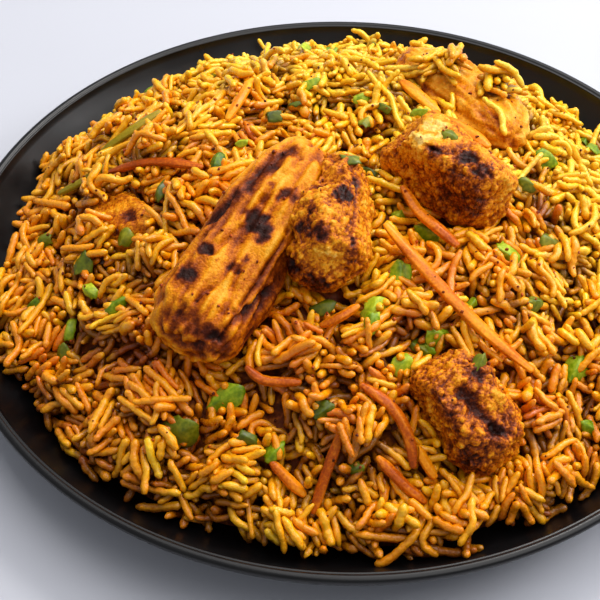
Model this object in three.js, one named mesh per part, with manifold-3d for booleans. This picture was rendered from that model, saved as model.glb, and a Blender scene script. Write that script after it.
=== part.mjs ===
// A black coupe plate heaped with vermicelli rice, with pieces of roast chicken and strips of
// carrot lying in it. Millimetres, +Z up. The origin is the middle of the plate's foot, on the
// table, and the near side of the plate is towards -Y.

import * as THREE from 'three';
import { mergeVertices } from 'three/addons/utils/BufferGeometryUtils.js';
import Module from 'manifold-3d';

const wasm = await Module();
wasm.setup();

// ---------------------------------------------------------------- driving dimensions

const GAP = 0.5; // how much a neighbour is grown before it is cut out of a piece

const PLATE = {
  radius: 115.5,
  height: 21,
  footRadius: 66,
  footWidth: 5,
  recess: 2, // the underside inside the foot ring stands this far off the table
  floorHeight: 6.5,
  floorRadius: 86, // flat out to here, then it sweeps up
  sweepPower: 3,
  thickness: 4,
  lipWidth: 3.1,
  lipRise: 1.3, // the lip is rounded over from this far below its top
  underStart: 82, // the underside rises away from the table between these two radii
  underEnd: 111.4,
  sweepSteps: 5,
  lipSteps: 4,
  sides: 60,
};

const HEAP = {
  radius: 102.5,
  peak: 51,
  power: 2.8, // how square-shouldered the mound is
  edgeThickness: 2.4,
  plateGap: 0.35,
  wander: [ // how the foot of the heap strays in and out: waves round it and their depth
    { waves: 5, depth: 0.9, phase: 1 },
    { waves: 9, depth: 0.7, phase: 2 },
  ],
  bumps: [ // the clumps that the spoon leaves: wavelength and height
    { length: 47, height: 1.1 },
    { length: 29, height: 1.1 },
    { length: 19, height: 0.7 },
  ],
  bumpFade: 4, // power that takes the clumps down to nothing at the edge
  topRings: 10,
  bottomRings: 3,
  bottomRingStep: 0.06, // share of the radius
};

// Each piece of chicken: its middle on the heap, heading of its long side in degrees, how deep
// it is sunk, extra pitch (its leading end up) and roll on top of the heap's own slope. The
// knife's flat cuts each have a direction out of the piece, along its length, across it and up,
// and a distance from its middle.
const CHICKEN = [
  {
    name: 'chicken_breast_strip',
    middle: [-26, -31.5], heading: 60, sink: 5, pitch: 2, roll: 7,
    length: 70, width: 26, height: 17, taper: -0.2, bluntness: 3.4, squareness: 2.7,
    bow: 2.5, lumps: 0.7, lumpLength: 31, seed: 1, sections: 12, sides: 14,
    cuts: [[0, -0.95, 0.3, 11.2], [0, -0.14, 1, 7.6], [-1, 0, 0.3, 32.4], [0.95, -0.3, 0.25, 32]],
  },
  {
    name: 'chicken_crusted_chunk',
    middle: [-4, -26], heading: 82, sink: 6, pitch: 3, roll: -9,
    length: 41, width: 22, height: 22, taper: -0.1, bluntness: 2.8, squareness: 2.5,
    bow: 1, lumps: 1.5, lumpLength: 15, seed: 2, sections: 10, sides: 12,
    cuts: [[0.1, -1, 0.3, 9.6], [0.2, 0.15, 1, 9.8], [0.9, -0.35, 0.3, 17.2], [-0.85, -0.2, 0.5, 16.8]],
  },
  {
    name: 'chicken_cut_chunk',
    middle: [28, -4], heading: -42, sink: 8, pitch: 0, roll: 0,
    length: 38, width: 21, height: 22, taper: -0.06, bluntness: 4, squareness: 3.4,
    bow: 1.5, lumps: 1, lumpLength: 17, seed: 3, sections: 9, sides: 12,
    cuts: [[0, -1, 0.1, 8.6], [0.1, 0.75, 0.65, 10], [1, -0.25, 0.1, 17], [-0.8, -0.1, 0.6, 14.5]],
  },
  {
    name: 'chicken_front_chunk',
    middle: [28.4, -73.4], heading: -48, sink: 7.8, pitch: 0, roll: 0,
    length: 32, width: 22, height: 19, taper: 0.05, bluntness: 3, squareness: 2.9,
    bow: 1.5, lumps: 1.4, lumpLength: 16, seed: 4, sections: 9, sides: 12,
    cuts: [[-0.1, -1, 0.15, 9], [0, 0.1, 1, 8.4], [0.2, 0.85, 0.5, 10], [1, 0.1, 0.25, 14.2],
      [-0.9, 0, 0.45, 13.6]],
  },
  {
    name: 'chicken_glazed_strip',
    middle: [37.5, 44.5], heading: -60, sink: 11.4, pitch: 0, roll: 8,
    length: 60, width: 21, height: 16, taper: -0.1, bluntness: 2.8, squareness: 2.4,
    bow: 2, lumps: 0.9, lumpLength: 23, seed: 5, sections: 10, sides: 12,
    cuts: [[0.05, -0.2, 1, 7], [0, -0.9, 0.5, 9], [0.95, 0, 0.3, 27], [-0.9, 0.2, 0.4, 26]],
  },
  {
    name: 'chicken_sunken_piece',
    middle: [-67.5, -5], heading: -56, sink: 12.8, pitch: 0, roll: 0,
    length: 34, width: 18, height: 15, taper: 0.1, bluntness: 2.8, squareness: 2.5,
    bow: 1, lumps: 1, lumpLength: 17, seed: 6, sections: 8, sides: 10,
    cuts: [[0.1, 0.2, 1, 6.4], [0.7, -0.5, 0.5, 10.6]],
  },
];

// Each strip of vegetable: the points that its middle line passes over, seen from above, the
// width of its cut, and how far that line floats over the heap.
const STRIPS = [
  { name: 'carrot_long', path: [[9.5, -26], [21, -41], [34, -54], [46.5, -62.5]], width: 3.6, lift: 1.4 },
  { name: 'carrot_upper', path: [[15, -10], [19, -18], [24, -25], [29, -30]], width: 3.2, lift: 0.8 },
  { name: 'carrot_front_curl', path: [[2, -69], [10, -75], [14, -81], [15, -87]], width: 3, lift: 0.5 },
  { name: 'carrot_front_low', path: [[6, -85], [12, -90], [18, -93.5]], width: 2.8, lift: 0.4 },
  { name: 'carrot_front_right', path: [[16, -82.5], [18, -85.5], [20.5, -88.5]], width: 2.6, lift: 0.4 },
  { name: 'carrot_front_left', path: [[-2, -78], [-6, -86], [-10, -94.5]], width: 2.8, lift: 0.5 },
  { name: 'carrot_low_left', path: [[-20.5, -84], [-16, -88], [-12, -91]], width: 2.8, lift: 0.4 },
  { name: 'carrot_under_strip', path: [[-27, -64], [-23, -67], [-13, -68]], width: 2.6, lift: 0.3 },
  { name: 'carrot_middle', path: [[-8, -54], [-3, -53], [2, -50]], width: 2.6, lift: 0.5 },
  { name: 'carrot_back_right', path: [[25, 25], [33, 18.5], [41, 8]], width: 3.8, lift: 2 },
  { name: 'carrot_back_middle', path: [[18, 42], [23, 35], [28.5, 28.5]], width: 3.8, lift: 1.6 },
  { name: 'carrot_back_left', path: [[-28, 45], [-31, 35], [-35, 26]], width: 2.8, lift: 0.8 },
  { name: 'carrot_left_band', path: [[-70, 13], [-56, 9], [-41, 3]], width: 3.2, lift: 0.5 },
  { name: 'pepper_left_long', path: [[-74, 26.5], [-65, 29.5], [-56, 35.5]], width: 3, lift: 0.7 },
  { name: 'pepper_left_short', path: [[-87, 16], [-79, 16], [-71, 18]], width: 2.8, lift: 0.6 },
];

const STRIP_CUT = {
  thickness: 2.2, sections: 6, sides: 6, blunt: 0.55, endPower: 7, tip: 0.3, squareness: 3,
};

// ---------------------------------------------------------------- materials

const satinBlack = new THREE.MeshStandardMaterial({ color: 0x161416, roughness: 0.38, metalness: 0 });
const riceYellow = new THREE.MeshStandardMaterial({ color: 0xd2922a, roughness: 0.45, metalness: 0 });
const roastBrown = new THREE.MeshStandardMaterial({ color: 0xb8701c, roughness: 0.5, metalness: 0 });
const carrotOrange = new THREE.MeshStandardMaterial({ color: 0xd8691a, roughness: 0.4, metalness: 0 });
const pepperGreen = new THREE.MeshStandardMaterial({ color: 0x83861f, roughness: 0.4, metalness: 0 });

// ---------------------------------------------------------------- geometry helpers

const radians = THREE.MathUtils.degToRad;

// A closed skin over rings of points, each with as many points as the next, and a point at
// each end.
function skin(start, rings, end) {
  const count = rings[0].length;
  const points = [start, ...rings.flat(), end];
  const last = points.length - 1;
  const index = [];
  for (let side = 0; side < count; side += 1) {
    const next = (side + 1) % count;
    index.push(0, 1 + next, 1 + side);
    for (let ring = 0; ring < rings.length - 1; ring += 1) {
      const near = 1 + ring * count;
      const far = near + count;
      index.push(near + side, near + next, far + side);
      index.push(near + next, far + next, far + side);
    }
    const near = 1 + (rings.length - 1) * count;
    index.push(last, near + side, near + next);
  }
  const geometry = new THREE.BufferGeometry().setFromPoints(points);
  geometry.setIndex(index);
  return geometry;
}

function solidOf(geometry) {
  const bare = geometry.clone();
  bare.deleteAttribute('normal');
  bare.deleteAttribute('uv');
  const merged = mergeVertices(bare);
  return new wasm.Manifold(new wasm.Mesh({
    numProp: 3,
    vertProperties: new Float32Array(merged.attributes.position.array),
    triVerts: new Uint32Array(merged.index.array),
  }));
}

// The largest body of a solid, so that a cut leaves no crumbs behind.
function largestBody(solid) {
  return solid.decompose().reduce((best, body) => (body.volume() > best.volume() ? body : best));
}

function geometryOf(solid) {
  const mesh = solid.getMesh();
  const geometry = new THREE.BufferGeometry();
  geometry.setAttribute('position', new THREE.BufferAttribute(mesh.vertProperties, 3));
  geometry.setIndex(new THREE.BufferAttribute(mesh.triVerts, 1));
  geometry.computeVertexNormals();
  return geometry;
}

function namedMesh(name, geometry, material) {
  const mesh = new THREE.Mesh(geometry, material);
  mesh.name = name;
  return mesh;
}

// A point of a superellipse: squareness 2 is an ellipse, and more is boxier.
function roundedSection(angle, squareness) {
  const across = Math.cos(angle);
  const up = Math.sin(angle);
  const sum = Math.abs(across) ** squareness + Math.abs(up) ** squareness;
  const reach = sum ** (-1 / squareness);
  return [across * reach, up * reach];
}

// ---------------------------------------------------------------- plate

const lipRadius = PLATE.radius - PLATE.lipWidth; // where the inside wall meets the lip
const lipHeight = PLATE.height - PLATE.lipRise;

// How high the inside of the plate is at a radius.
function insideHeight(radius) {
  const along = Math.max(0, radius - PLATE.floorRadius) / (lipRadius - PLATE.floorRadius);
  return PLATE.floorHeight + (lipHeight - PLATE.floorHeight) * along ** PLATE.sweepPower;
}

// The underside of the sweep, as far below the inside as the plate is thick.
function undersidePoint(radius) {
  const step = 0.1;
  const slope = (insideHeight(radius + step) - insideHeight(radius - step)) / (2 * step);
  const along = (radius - PLATE.floorRadius) / (lipRadius - PLATE.floorRadius);
  const thickness = THREE.MathUtils.lerp(PLATE.thickness, PLATE.lipWidth, Math.max(0, along));
  const length = Math.hypot(1, slope);
  return new THREE.Vector2(
    radius + (thickness * slope) / length,
    insideHeight(radius) - thickness / length,
  );
}

function plateProfile() {
  const { footRadius, footWidth, recess, floorHeight, floorRadius, lipWidth, lipRise } = PLATE;
  const { underStart, underEnd, sweepSteps, lipSteps } = PLATE;
  const profile = [
    new THREE.Vector2(0, recess),
    new THREE.Vector2(footRadius - footWidth - recess / 2, recess),
    new THREE.Vector2(footRadius - footWidth, 0),
    new THREE.Vector2(footRadius, 0),
    new THREE.Vector2(footRadius + recess / 2, recess),
  ];
  for (let step = 0; step < sweepSteps; step += 1) {
    const radius = THREE.MathUtils.lerp(underStart, underEnd, step / (sweepSteps - 1));
    profile.push(undersidePoint(radius));
  }
  for (let step = 0; step <= lipSteps; step += 1) {
    const angle = (Math.PI * step) / lipSteps;
    profile.push(new THREE.Vector2(
      lipRadius + (lipWidth / 2) * (1 + Math.cos(angle)),
      lipHeight + lipRise * Math.sin(angle),
    ));
  }
  for (let step = sweepSteps - 1; step >= 0; step -= 1) {
    const radius = THREE.MathUtils.lerp(floorRadius, lipRadius, step / sweepSteps);
    profile.push(new THREE.Vector2(radius, insideHeight(radius)));
  }
  profile.push(new THREE.Vector2(0, floorHeight));
  return profile;
}

function plateMesh() {
  const geometry = new THREE.LatheGeometry(plateProfile(), PLATE.sides);
  geometry.rotateX(Math.PI / 2);
  return namedMesh('plate', geometry, satinBlack);
}

// ---------------------------------------------------------------- heap of vermicelli rice

// How far out the heap reaches in a direction.
function heapEdge(angle) {
  let reach = HEAP.radius;
  for (const { waves, depth, phase } of HEAP.wander) {
    reach += depth * Math.sin(waves * angle + phase);
  }
  return reach;
}

function clumps(x, y) {
  let height = 0;
  HEAP.bumps.forEach((bump, number) => {
    const turn = 0.8 + 1.9 * number;
    const along = x * Math.cos(turn) + y * Math.sin(turn);
    const across = y * Math.cos(turn) - x * Math.sin(turn);
    const wave = (2 * Math.PI) / bump.length;
    height += bump.height * Math.sin(wave * along + number) * Math.cos(wave * across + 2 * number);
  });
  return height;
}

// The height of the heap's outside over the table.
function heapTop(x, y) {
  const edge = heapEdge(Math.atan2(y, x));
  const share = Math.min(1, Math.hypot(x, y) / edge);
  const rim = insideHeight(edge) + HEAP.edgeThickness;
  const mound = (HEAP.peak - rim) * (1 - share ** HEAP.power);
  return rim + mound + clumps(x, y) * (1 - share ** HEAP.bumpFade);
}

function heapRing(share, heightAt) {
  const ring = [];
  for (let side = 0; side < PLATE.sides; side += 1) {
    // the plate's own facets start on this angle, so the two stay parallel
    const angle = (2 * Math.PI * side) / PLATE.sides;
    const radius = share * heapEdge(angle);
    const x = radius * Math.cos(angle);
    const y = radius * Math.sin(angle);
    ring.push(new THREE.Vector3(x, y, heightAt(x, y, radius)));
  }
  return ring;
}

function heapSolid() {
  const rings = [];
  const bed = (x, y, radius) => insideHeight(radius) + HEAP.plateGap;
  for (let ring = 1; ring <= HEAP.topRings; ring += 1) {
    // the rings close up towards the edge, where the mound is steep
    const share = Math.sin((Math.PI / 2) * (ring / HEAP.topRings));
    rings.push(heapRing(share, heapTop));
  }
  for (let ring = 0; ring < HEAP.bottomRings; ring += 1) {
    rings.push(heapRing(1 - HEAP.bottomRingStep * ring, bed));
  }
  const top = new THREE.Vector3(0, 0, heapTop(0, 0));
  const bottom = new THREE.Vector3(0, 0, bed(0, 0, 0));
  return solidOf(skin(top, rings.map((ring) => ring.reverse()), bottom));
}

// ---------------------------------------------------------------- chicken

// A piece of chicken along its own X axis, grown by a margin on every side.
function chickenGeometry(piece, margin) {
  const halfLength = piece.length / 2 + margin;
  const rings = [];
  for (let section = 1; section < piece.sections; section += 1) {
    const along = -Math.cos((Math.PI * section) / piece.sections);
    const blunt = (1 - Math.abs(along) ** piece.bluntness) ** (1 / piece.bluntness);
    const x = halfLength * along;
    const bow = piece.bow * (0.5 - along ** 2);
    const ring = [];
    for (let side = 0; side < piece.sides; side += 1) {
      const angle = (2 * Math.PI * side) / piece.sides;
      const [across, up] = roundedSection(angle, piece.squareness);
      const wave = (2 * Math.PI * x) / piece.lumpLength;
      const lump = piece.lumps * Math.sin(wave + 2 * angle + piece.seed)
        * Math.cos(1.6 * wave - 3 * angle + 2 * piece.seed);
      const halfWidth = (piece.width / 2) * (1 + piece.taper * along) + lump + margin;
      const halfHeight = (piece.height / 2) * (1 + 0.5 * piece.taper * along) + lump + margin;
      ring.push(new THREE.Vector3(x, across * halfWidth * blunt, up * halfHeight * blunt + bow));
    }
    rings.push(ring);
  }
  const endBow = -0.5 * piece.bow;
  return skin(
    new THREE.Vector3(-halfLength, 0, endBow),
    rings,
    new THREE.Vector3(halfLength, 0, endBow),
  );
}

// Where a piece comes to rest on the heap: sunk in a little, and turned to the heap's slope.
function restingPlace(piece) {
  const [x, y] = piece.middle;
  const heading = radians(piece.heading);
  const reach = piece.width / 2;
  const rise = (turn) => {
    const dx = reach * Math.cos(heading + turn);
    const dy = reach * Math.sin(heading + turn);
    return Math.atan2(heapTop(x + dx, y + dy) - heapTop(x - dx, y - dy), 2 * reach);
  };
  const place = new THREE.Object3D();
  const pitch = rise(0) + radians(piece.pitch);
  const roll = rise(Math.PI / 2) + radians(piece.roll);
  place.rotation.set(roll, -pitch, heading, 'ZYX');
  place.position.set(x, y, heapTop(x, y));
  place.translateZ(piece.height / 2 - piece.sink);
  place.updateMatrixWorld();
  return place;
}

function chickenSolid(piece, margin) {
  let solid = solidOf(chickenGeometry(piece, margin));
  for (const [along, across, up, distance] of piece.cuts) {
    const length = Math.hypot(along, across, up);
    const inward = [-along / length, -across / length, -up / length];
    solid = solid.trimByPlane(inward, -distance - margin);
  }
  return solid.transform(restingPlace(piece).matrixWorld.elements);
}

// ---------------------------------------------------------------- carrot and pepper strips

// A strip swept along its line over the heap, tapering to blunt ends, grown by a margin.
function stripGeometry(strip, margin) {
  const points = strip.path.map(([x, y]) => new THREE.Vector3(x, y, heapTop(x, y) + strip.lift));
  const curve = new THREE.CatmullRomCurve3(points);
  const { thickness, sections, sides, blunt, endPower, tip, squareness } = STRIP_CUT;
  const rings = [];
  const up = new THREE.Vector3(0, 0, 1);
  for (let section = 0; section <= sections; section += 1) {
    const along = section / sections;
    const middle = curve.getPointAt(along);
    const forward = curve.getTangentAt(along);
    const sideways = new THREE.Vector3().crossVectors(up, forward).normalize();
    const normal = new THREE.Vector3().crossVectors(forward, sideways);
    const narrow = blunt + (1 - blunt) * (1 - Math.abs(2 * along - 1) ** endPower);
    const ring = [];
    for (let side = 0; side < sides; side += 1) {
      const [across, high] = roundedSection((2 * Math.PI * (side + 0.5)) / sides, squareness);
      ring.push(middle.clone()
        .addScaledVector(sideways, across * ((strip.width / 2) * narrow + margin))
        .addScaledVector(normal, high * ((thickness / 2) * narrow + margin)));
    }
    rings.push(ring);
  }
  const start = curve.getPointAt(0).addScaledVector(curve.getTangentAt(0), -tip - margin);
  const end = curve.getPointAt(1).addScaledVector(curve.getTangentAt(1), tip + margin);
  return skin(start, rings, end);
}

// ---------------------------------------------------------------- putting it together

const group = new THREE.Group();
group.add(plateMesh());

// Each piece gives way to those laid before it, and the heap gives way to them all.
let laid = null;

function lay(name, solid, grownSolid, material, parent, place) {
  const body = laid ? largestBody(solid.subtract(laid)) : solid;
  laid = laid ? laid.add(grownSolid) : grownSolid;
  const geometry = geometryOf(body);
  const mesh = namedMesh(name, geometry, material);
  if (place) {
    geometry.applyMatrix4(place.matrixWorld.clone().invert());
    mesh.position.copy(place.position);
    mesh.rotation.copy(place.rotation);
  }
  parent.add(mesh);
}

const chicken = new THREE.Group();
group.add(chicken);
for (const piece of CHICKEN) {
  const place = restingPlace(piece);
  lay(piece.name, chickenSolid(piece, 0), chickenSolid(piece, GAP), roastBrown, chicken, place);
}

const vegetables = new THREE.Group();
group.add(vegetables);
for (const strip of STRIPS) {
  const material = strip.name.startsWith('pepper') ? pepperGreen : carrotOrange;
  const solid = solidOf(stripGeometry(strip, 0));
  lay(strip.name, solid, solidOf(stripGeometry(strip, GAP)), material, vegetables);
}

const heap = largestBody(heapSolid().subtract(laid));
group.add(namedMesh('rice_heap', geometryOf(heap), riceYellow));

export default group;
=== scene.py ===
# %% [markdown]
# # A plate of vermicelli rice
#
# A satin black coupe plate holds a mound of spiced yellow vermicelli rice. Six pieces of
# roast chicken lie in it, with strips of carrot and pepper, chopped herbs and crumbs of
# masala. This lesson builds the looks of that plate in Blender around a model whose sizes
# and places are already settled. Each step first says what the thing is on the real plate,
# then how it could be made, and why it is made this way here.
#
# The main idea is to let the food behave like food. The rice isn't a bumpy surface with a
# picture of rice on it: each grain is a small bent rod with its own place, and all of them
# are dropped on a smaller core and settled until they rest on each other.

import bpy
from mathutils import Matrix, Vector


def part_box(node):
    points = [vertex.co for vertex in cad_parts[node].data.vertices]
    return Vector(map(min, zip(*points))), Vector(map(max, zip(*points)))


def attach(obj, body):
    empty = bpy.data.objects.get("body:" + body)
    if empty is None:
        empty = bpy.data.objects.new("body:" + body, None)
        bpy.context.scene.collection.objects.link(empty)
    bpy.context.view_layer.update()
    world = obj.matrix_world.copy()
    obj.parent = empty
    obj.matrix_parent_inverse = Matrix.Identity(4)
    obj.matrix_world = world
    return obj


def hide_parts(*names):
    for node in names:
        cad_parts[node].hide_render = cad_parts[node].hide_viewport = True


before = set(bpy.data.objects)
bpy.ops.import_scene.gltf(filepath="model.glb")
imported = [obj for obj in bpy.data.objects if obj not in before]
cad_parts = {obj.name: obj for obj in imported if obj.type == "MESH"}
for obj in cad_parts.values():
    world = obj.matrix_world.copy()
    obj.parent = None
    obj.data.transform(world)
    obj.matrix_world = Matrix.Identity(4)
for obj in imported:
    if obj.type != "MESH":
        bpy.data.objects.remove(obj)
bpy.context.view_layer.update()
print("pieces in the packed model:", len(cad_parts))

# %% Tools for the lesson
import math
from itertools import product

import bpy
import numpy as np
from mathutils import Vector
from mathutils.bvhtree import BVHTree

MM = 0.001
PLATE_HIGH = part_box("plate")[1]
LIP_HEIGHT = PLATE_HIGH.z
PLATE_RADIUS = PLATE_HIGH.x
print(f"the plate is {2 * PLATE_RADIUS / MM:.0f} mm across, its lip {LIP_HEIGHT / MM:.0f} mm high")

# %% [markdown]
# ## The camera
#
# The photograph looks down at the plate from the front, at a bit under fifty degrees, from
# about a third of a metre away. The round rim tells all of this: how flat its ellipse is
# gives the angle, and how much more it curves in front than behind gives the distance. The
# camera is placed from those few numbers, so that a point of the picture can be turned into
# a line of sight whenever a herb or a char spot has to go where the picture shows it.

# %% Camera
CAMERA_PITCH = math.radians(46.7)
CAMERA_DISTANCE = 358 * MM
AIM = Vector((-13.2 * MM, -24 * MM, LIP_HEIGHT))
LENS = 75
SENSOR = 36
PICTURE = 600

forward = Vector((0, math.cos(CAMERA_PITCH), -math.sin(CAMERA_PITCH)))
upward = Vector((0, math.sin(CAMERA_PITCH), math.cos(CAMERA_PITCH)))
rightward = Vector((1, 0, 0))

camera = bpy.data.objects.new("camera", bpy.data.cameras.new("camera"))
camera.data.lens = LENS
camera.data.sensor_width = SENSOR
camera.location = AIM - forward * CAMERA_DISTANCE
camera.rotation_euler = (math.pi / 2 - CAMERA_PITCH, 0, 0)
camera.data.clip_start = 0.01
bpy.context.scene.collection.objects.link(camera)
bpy.context.scene.camera = camera


def sight_line(pixel):
    """The direction in which the camera sees a pixel of the 600 x 600 picture."""
    focal = LENS / SENSOR * PICTURE
    across = (pixel[0] - PICTURE / 2) / focal
    down = (pixel[1] - PICTURE / 2) / focal
    return (forward + rightward * across - upward * down).normalized()


print("camera at", [round(value / MM) for value in camera.location], "mm")

# %% [markdown]
# ## Light
#
# A large soft window hangs over the plate, a little behind it and to the right, so the top
# of every grain is bright, its front is shaded and the gaps go nearly black. A small lamp
# beside it gives the oily grains their glints, and another, low at the right, puts a sheen on
# the left wall of the plate. The dim studio around them fills the shadows. The table, a
# plain pale sheet that runs out of the picture, comes once there are finishes.

# %% Lamps
LAMP_DISTANCE = 0.9
# the direction each lamp stands in, its width in metres, its power in watts and its colour
LAMPS = {
    "key_light": ((0.38, 0.26, 0.88), 1.35, 12.6, (1.0, 0.985, 0.98)),
    "glint_light": ((0.30, 0.50, 0.81), 0.16, 2.6, (1.0, 0.97, 0.92)),
    "side_light": ((0.84, 0.21, 0.51), 0.26, 1.9, (0.96, 0.97, 1.0)),
}


def area_light(name, direction, size, energy, colour):
    """A square soft light that shines at the middle of the plate."""
    direction = Vector(direction).normalized()
    light = bpy.data.lights.new(name, "AREA")
    light.size = size
    light.energy = energy
    light.color = colour
    lamp = bpy.data.objects.new(name, light)
    lamp.location = direction * LAMP_DISTANCE
    lamp.rotation_euler = direction.to_track_quat("Z", "Y").to_euler()
    bpy.context.scene.collection.objects.link(lamp)


for name, settings in LAMPS.items():
    area_light(name, *settings)
print("lamps:", len(LAMPS))

# %% The dim studio around them
STUDIO_COLOUR = (0.92, 0.95, 1.0, 1)
STUDIO_STRENGTH = 0.4
world = bpy.data.worlds.new("studio")
bpy.context.scene.world = world
world.use_nodes = True
background = world.node_tree.nodes["Background"]
background.inputs["Color"].default_value = STUDIO_COLOUR
background.inputs["Strength"].default_value = STUDIO_STRENGTH
bpy.context.scene.view_settings.view_transform = "Standard"

# %% [markdown]
# ## Small helpers for meshes
#
# Thousands of grains are too many for one object each, and adding faces one by one is slow
# in Python. Numpy works out all the points at once, and a mesh takes them in one go. Smooth
# random variation comes from value noise: random numbers on a lattice, blended between.

# %% Meshes from arrays


def mesh_from_arrays(name, points, face_groups):
    """A mesh from an array of points and arrays of faces, each with its own corner count."""
    mesh = bpy.data.meshes.new(name)
    corners = np.concatenate([faces.ravel() for faces in face_groups]).astype(np.int32)
    counts = np.concatenate([np.full(len(faces), faces.shape[1]) for faces in face_groups])
    starts = np.concatenate([[0], np.cumsum(counts)[:-1]]).astype(np.int32)
    mesh.vertices.add(len(points))
    mesh.vertices.foreach_set("co", np.asarray(points, np.float32).ravel())
    mesh.loops.add(len(corners))
    mesh.loops.foreach_set("vertex_index", corners)
    mesh.polygons.add(len(starts))
    mesh.polygons.foreach_set("loop_start", starts)
    mesh.update(calc_edges=True)
    mesh.polygons.foreach_set("use_smooth", np.ones(len(starts), bool))
    return mesh


def add_piece(name, mesh, material, replaced=()):
    """Puts a mesh in the scene as a piece of the plate."""
    piece = bpy.data.objects.new(name, mesh)
    bpy.context.scene.collection.objects.link(piece)
    piece.data.materials.append(material)
    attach(piece, "root")
    if replaced:
        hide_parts(*replaced)


# %% Points in and out of a mesh


def paint(mesh, name, values):
    """Stores one number for each point of a mesh, for its material to read."""
    attribute = mesh.attributes.new(name, "FLOAT", "POINT")
    attribute.data.foreach_set("value", np.asarray(values, np.float32))


def points_of(mesh):
    """The points of a mesh as an array of rows."""
    found = np.empty(len(mesh.vertices) * 3, np.float32)
    mesh.vertices.foreach_get("co", found)
    return found.reshape(-1, 3).astype(float)


def normals_of(mesh):
    """The outward direction at each point of a mesh."""
    found = np.empty(len(mesh.vertices) * 3, np.float32)
    mesh.vertex_normals.foreach_get("vector", found)
    return found.reshape(-1, 3).astype(float)


def set_points(mesh, points):
    """Moves the points of a mesh."""
    mesh.vertices.foreach_set("co", np.asarray(points, np.float32).ravel())
    mesh.update()


# %% Noise


def lattice_random(cell, seed):
    """A random number from 0 to 1 for each cell of a lattice."""
    x, y, z = cell.T
    mixed = (x * 73856093) ^ (y * 19349663) ^ (z * 83492791) ^ (seed * 2654435761)
    mixed = (mixed ^ (mixed >> 13)) * 1274126177 & 0xFFFFFFFF
    mixed = (mixed ^ (mixed >> 16)) & 0xFFFF
    return mixed / 0xFFFF


def value_noise(points, size, seed):
    """Smooth noise from -1 to 1 whose lumps are about size wide. points is (n, 3)."""
    places = np.asarray(points, float) / size
    cell = np.floor(places).astype(np.int64)
    share = places - cell
    share = share * share * (3 - 2 * share)
    total = np.zeros(len(places))
    for corner in product((0, 1), repeat=3):
        weight = np.prod(np.where(corner, share, 1 - share), axis=1)
        total += weight * (2 * lattice_random(cell + corner, seed) - 1)
    return total


def layered_noise(points, *layers):
    """Several noises added up, each given by its share, its size in millimetres and its seed."""
    return sum(share * value_noise(points, size * MM, seed) for share, size, seed in layers)


def smoothstep(low, high, values):
    """From 0 at low to 1 at high, with soft ends."""
    share = np.clip((np.asarray(values, float) - low) / (high - low), 0, 1)
    return share * share * (3 - 2 * share)


# %% Search trees


def tree_of(*meshes):
    """A search tree over several meshes, for rays and nearest points."""
    points, faces = [], []
    for mesh in meshes:
        start = len(points)
        points += [vertex.co.copy() for vertex in mesh.vertices]
        faces += [[start + corner for corner in face.vertices] for face in mesh.polygons]
    return BVHTree.FromPolygons(points, faces)


# %% [markdown]
# ## Small helpers for materials
#
# Every finish starts from the Principled shader. Its colour comes from a ramp that reads a
# painted value, which says how cooked, how deep or how saucy a spot is, with fine noise
# mixed in. Numbers that are the same all over are set straight on the shader.

# %% A finish and its nodes


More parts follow.
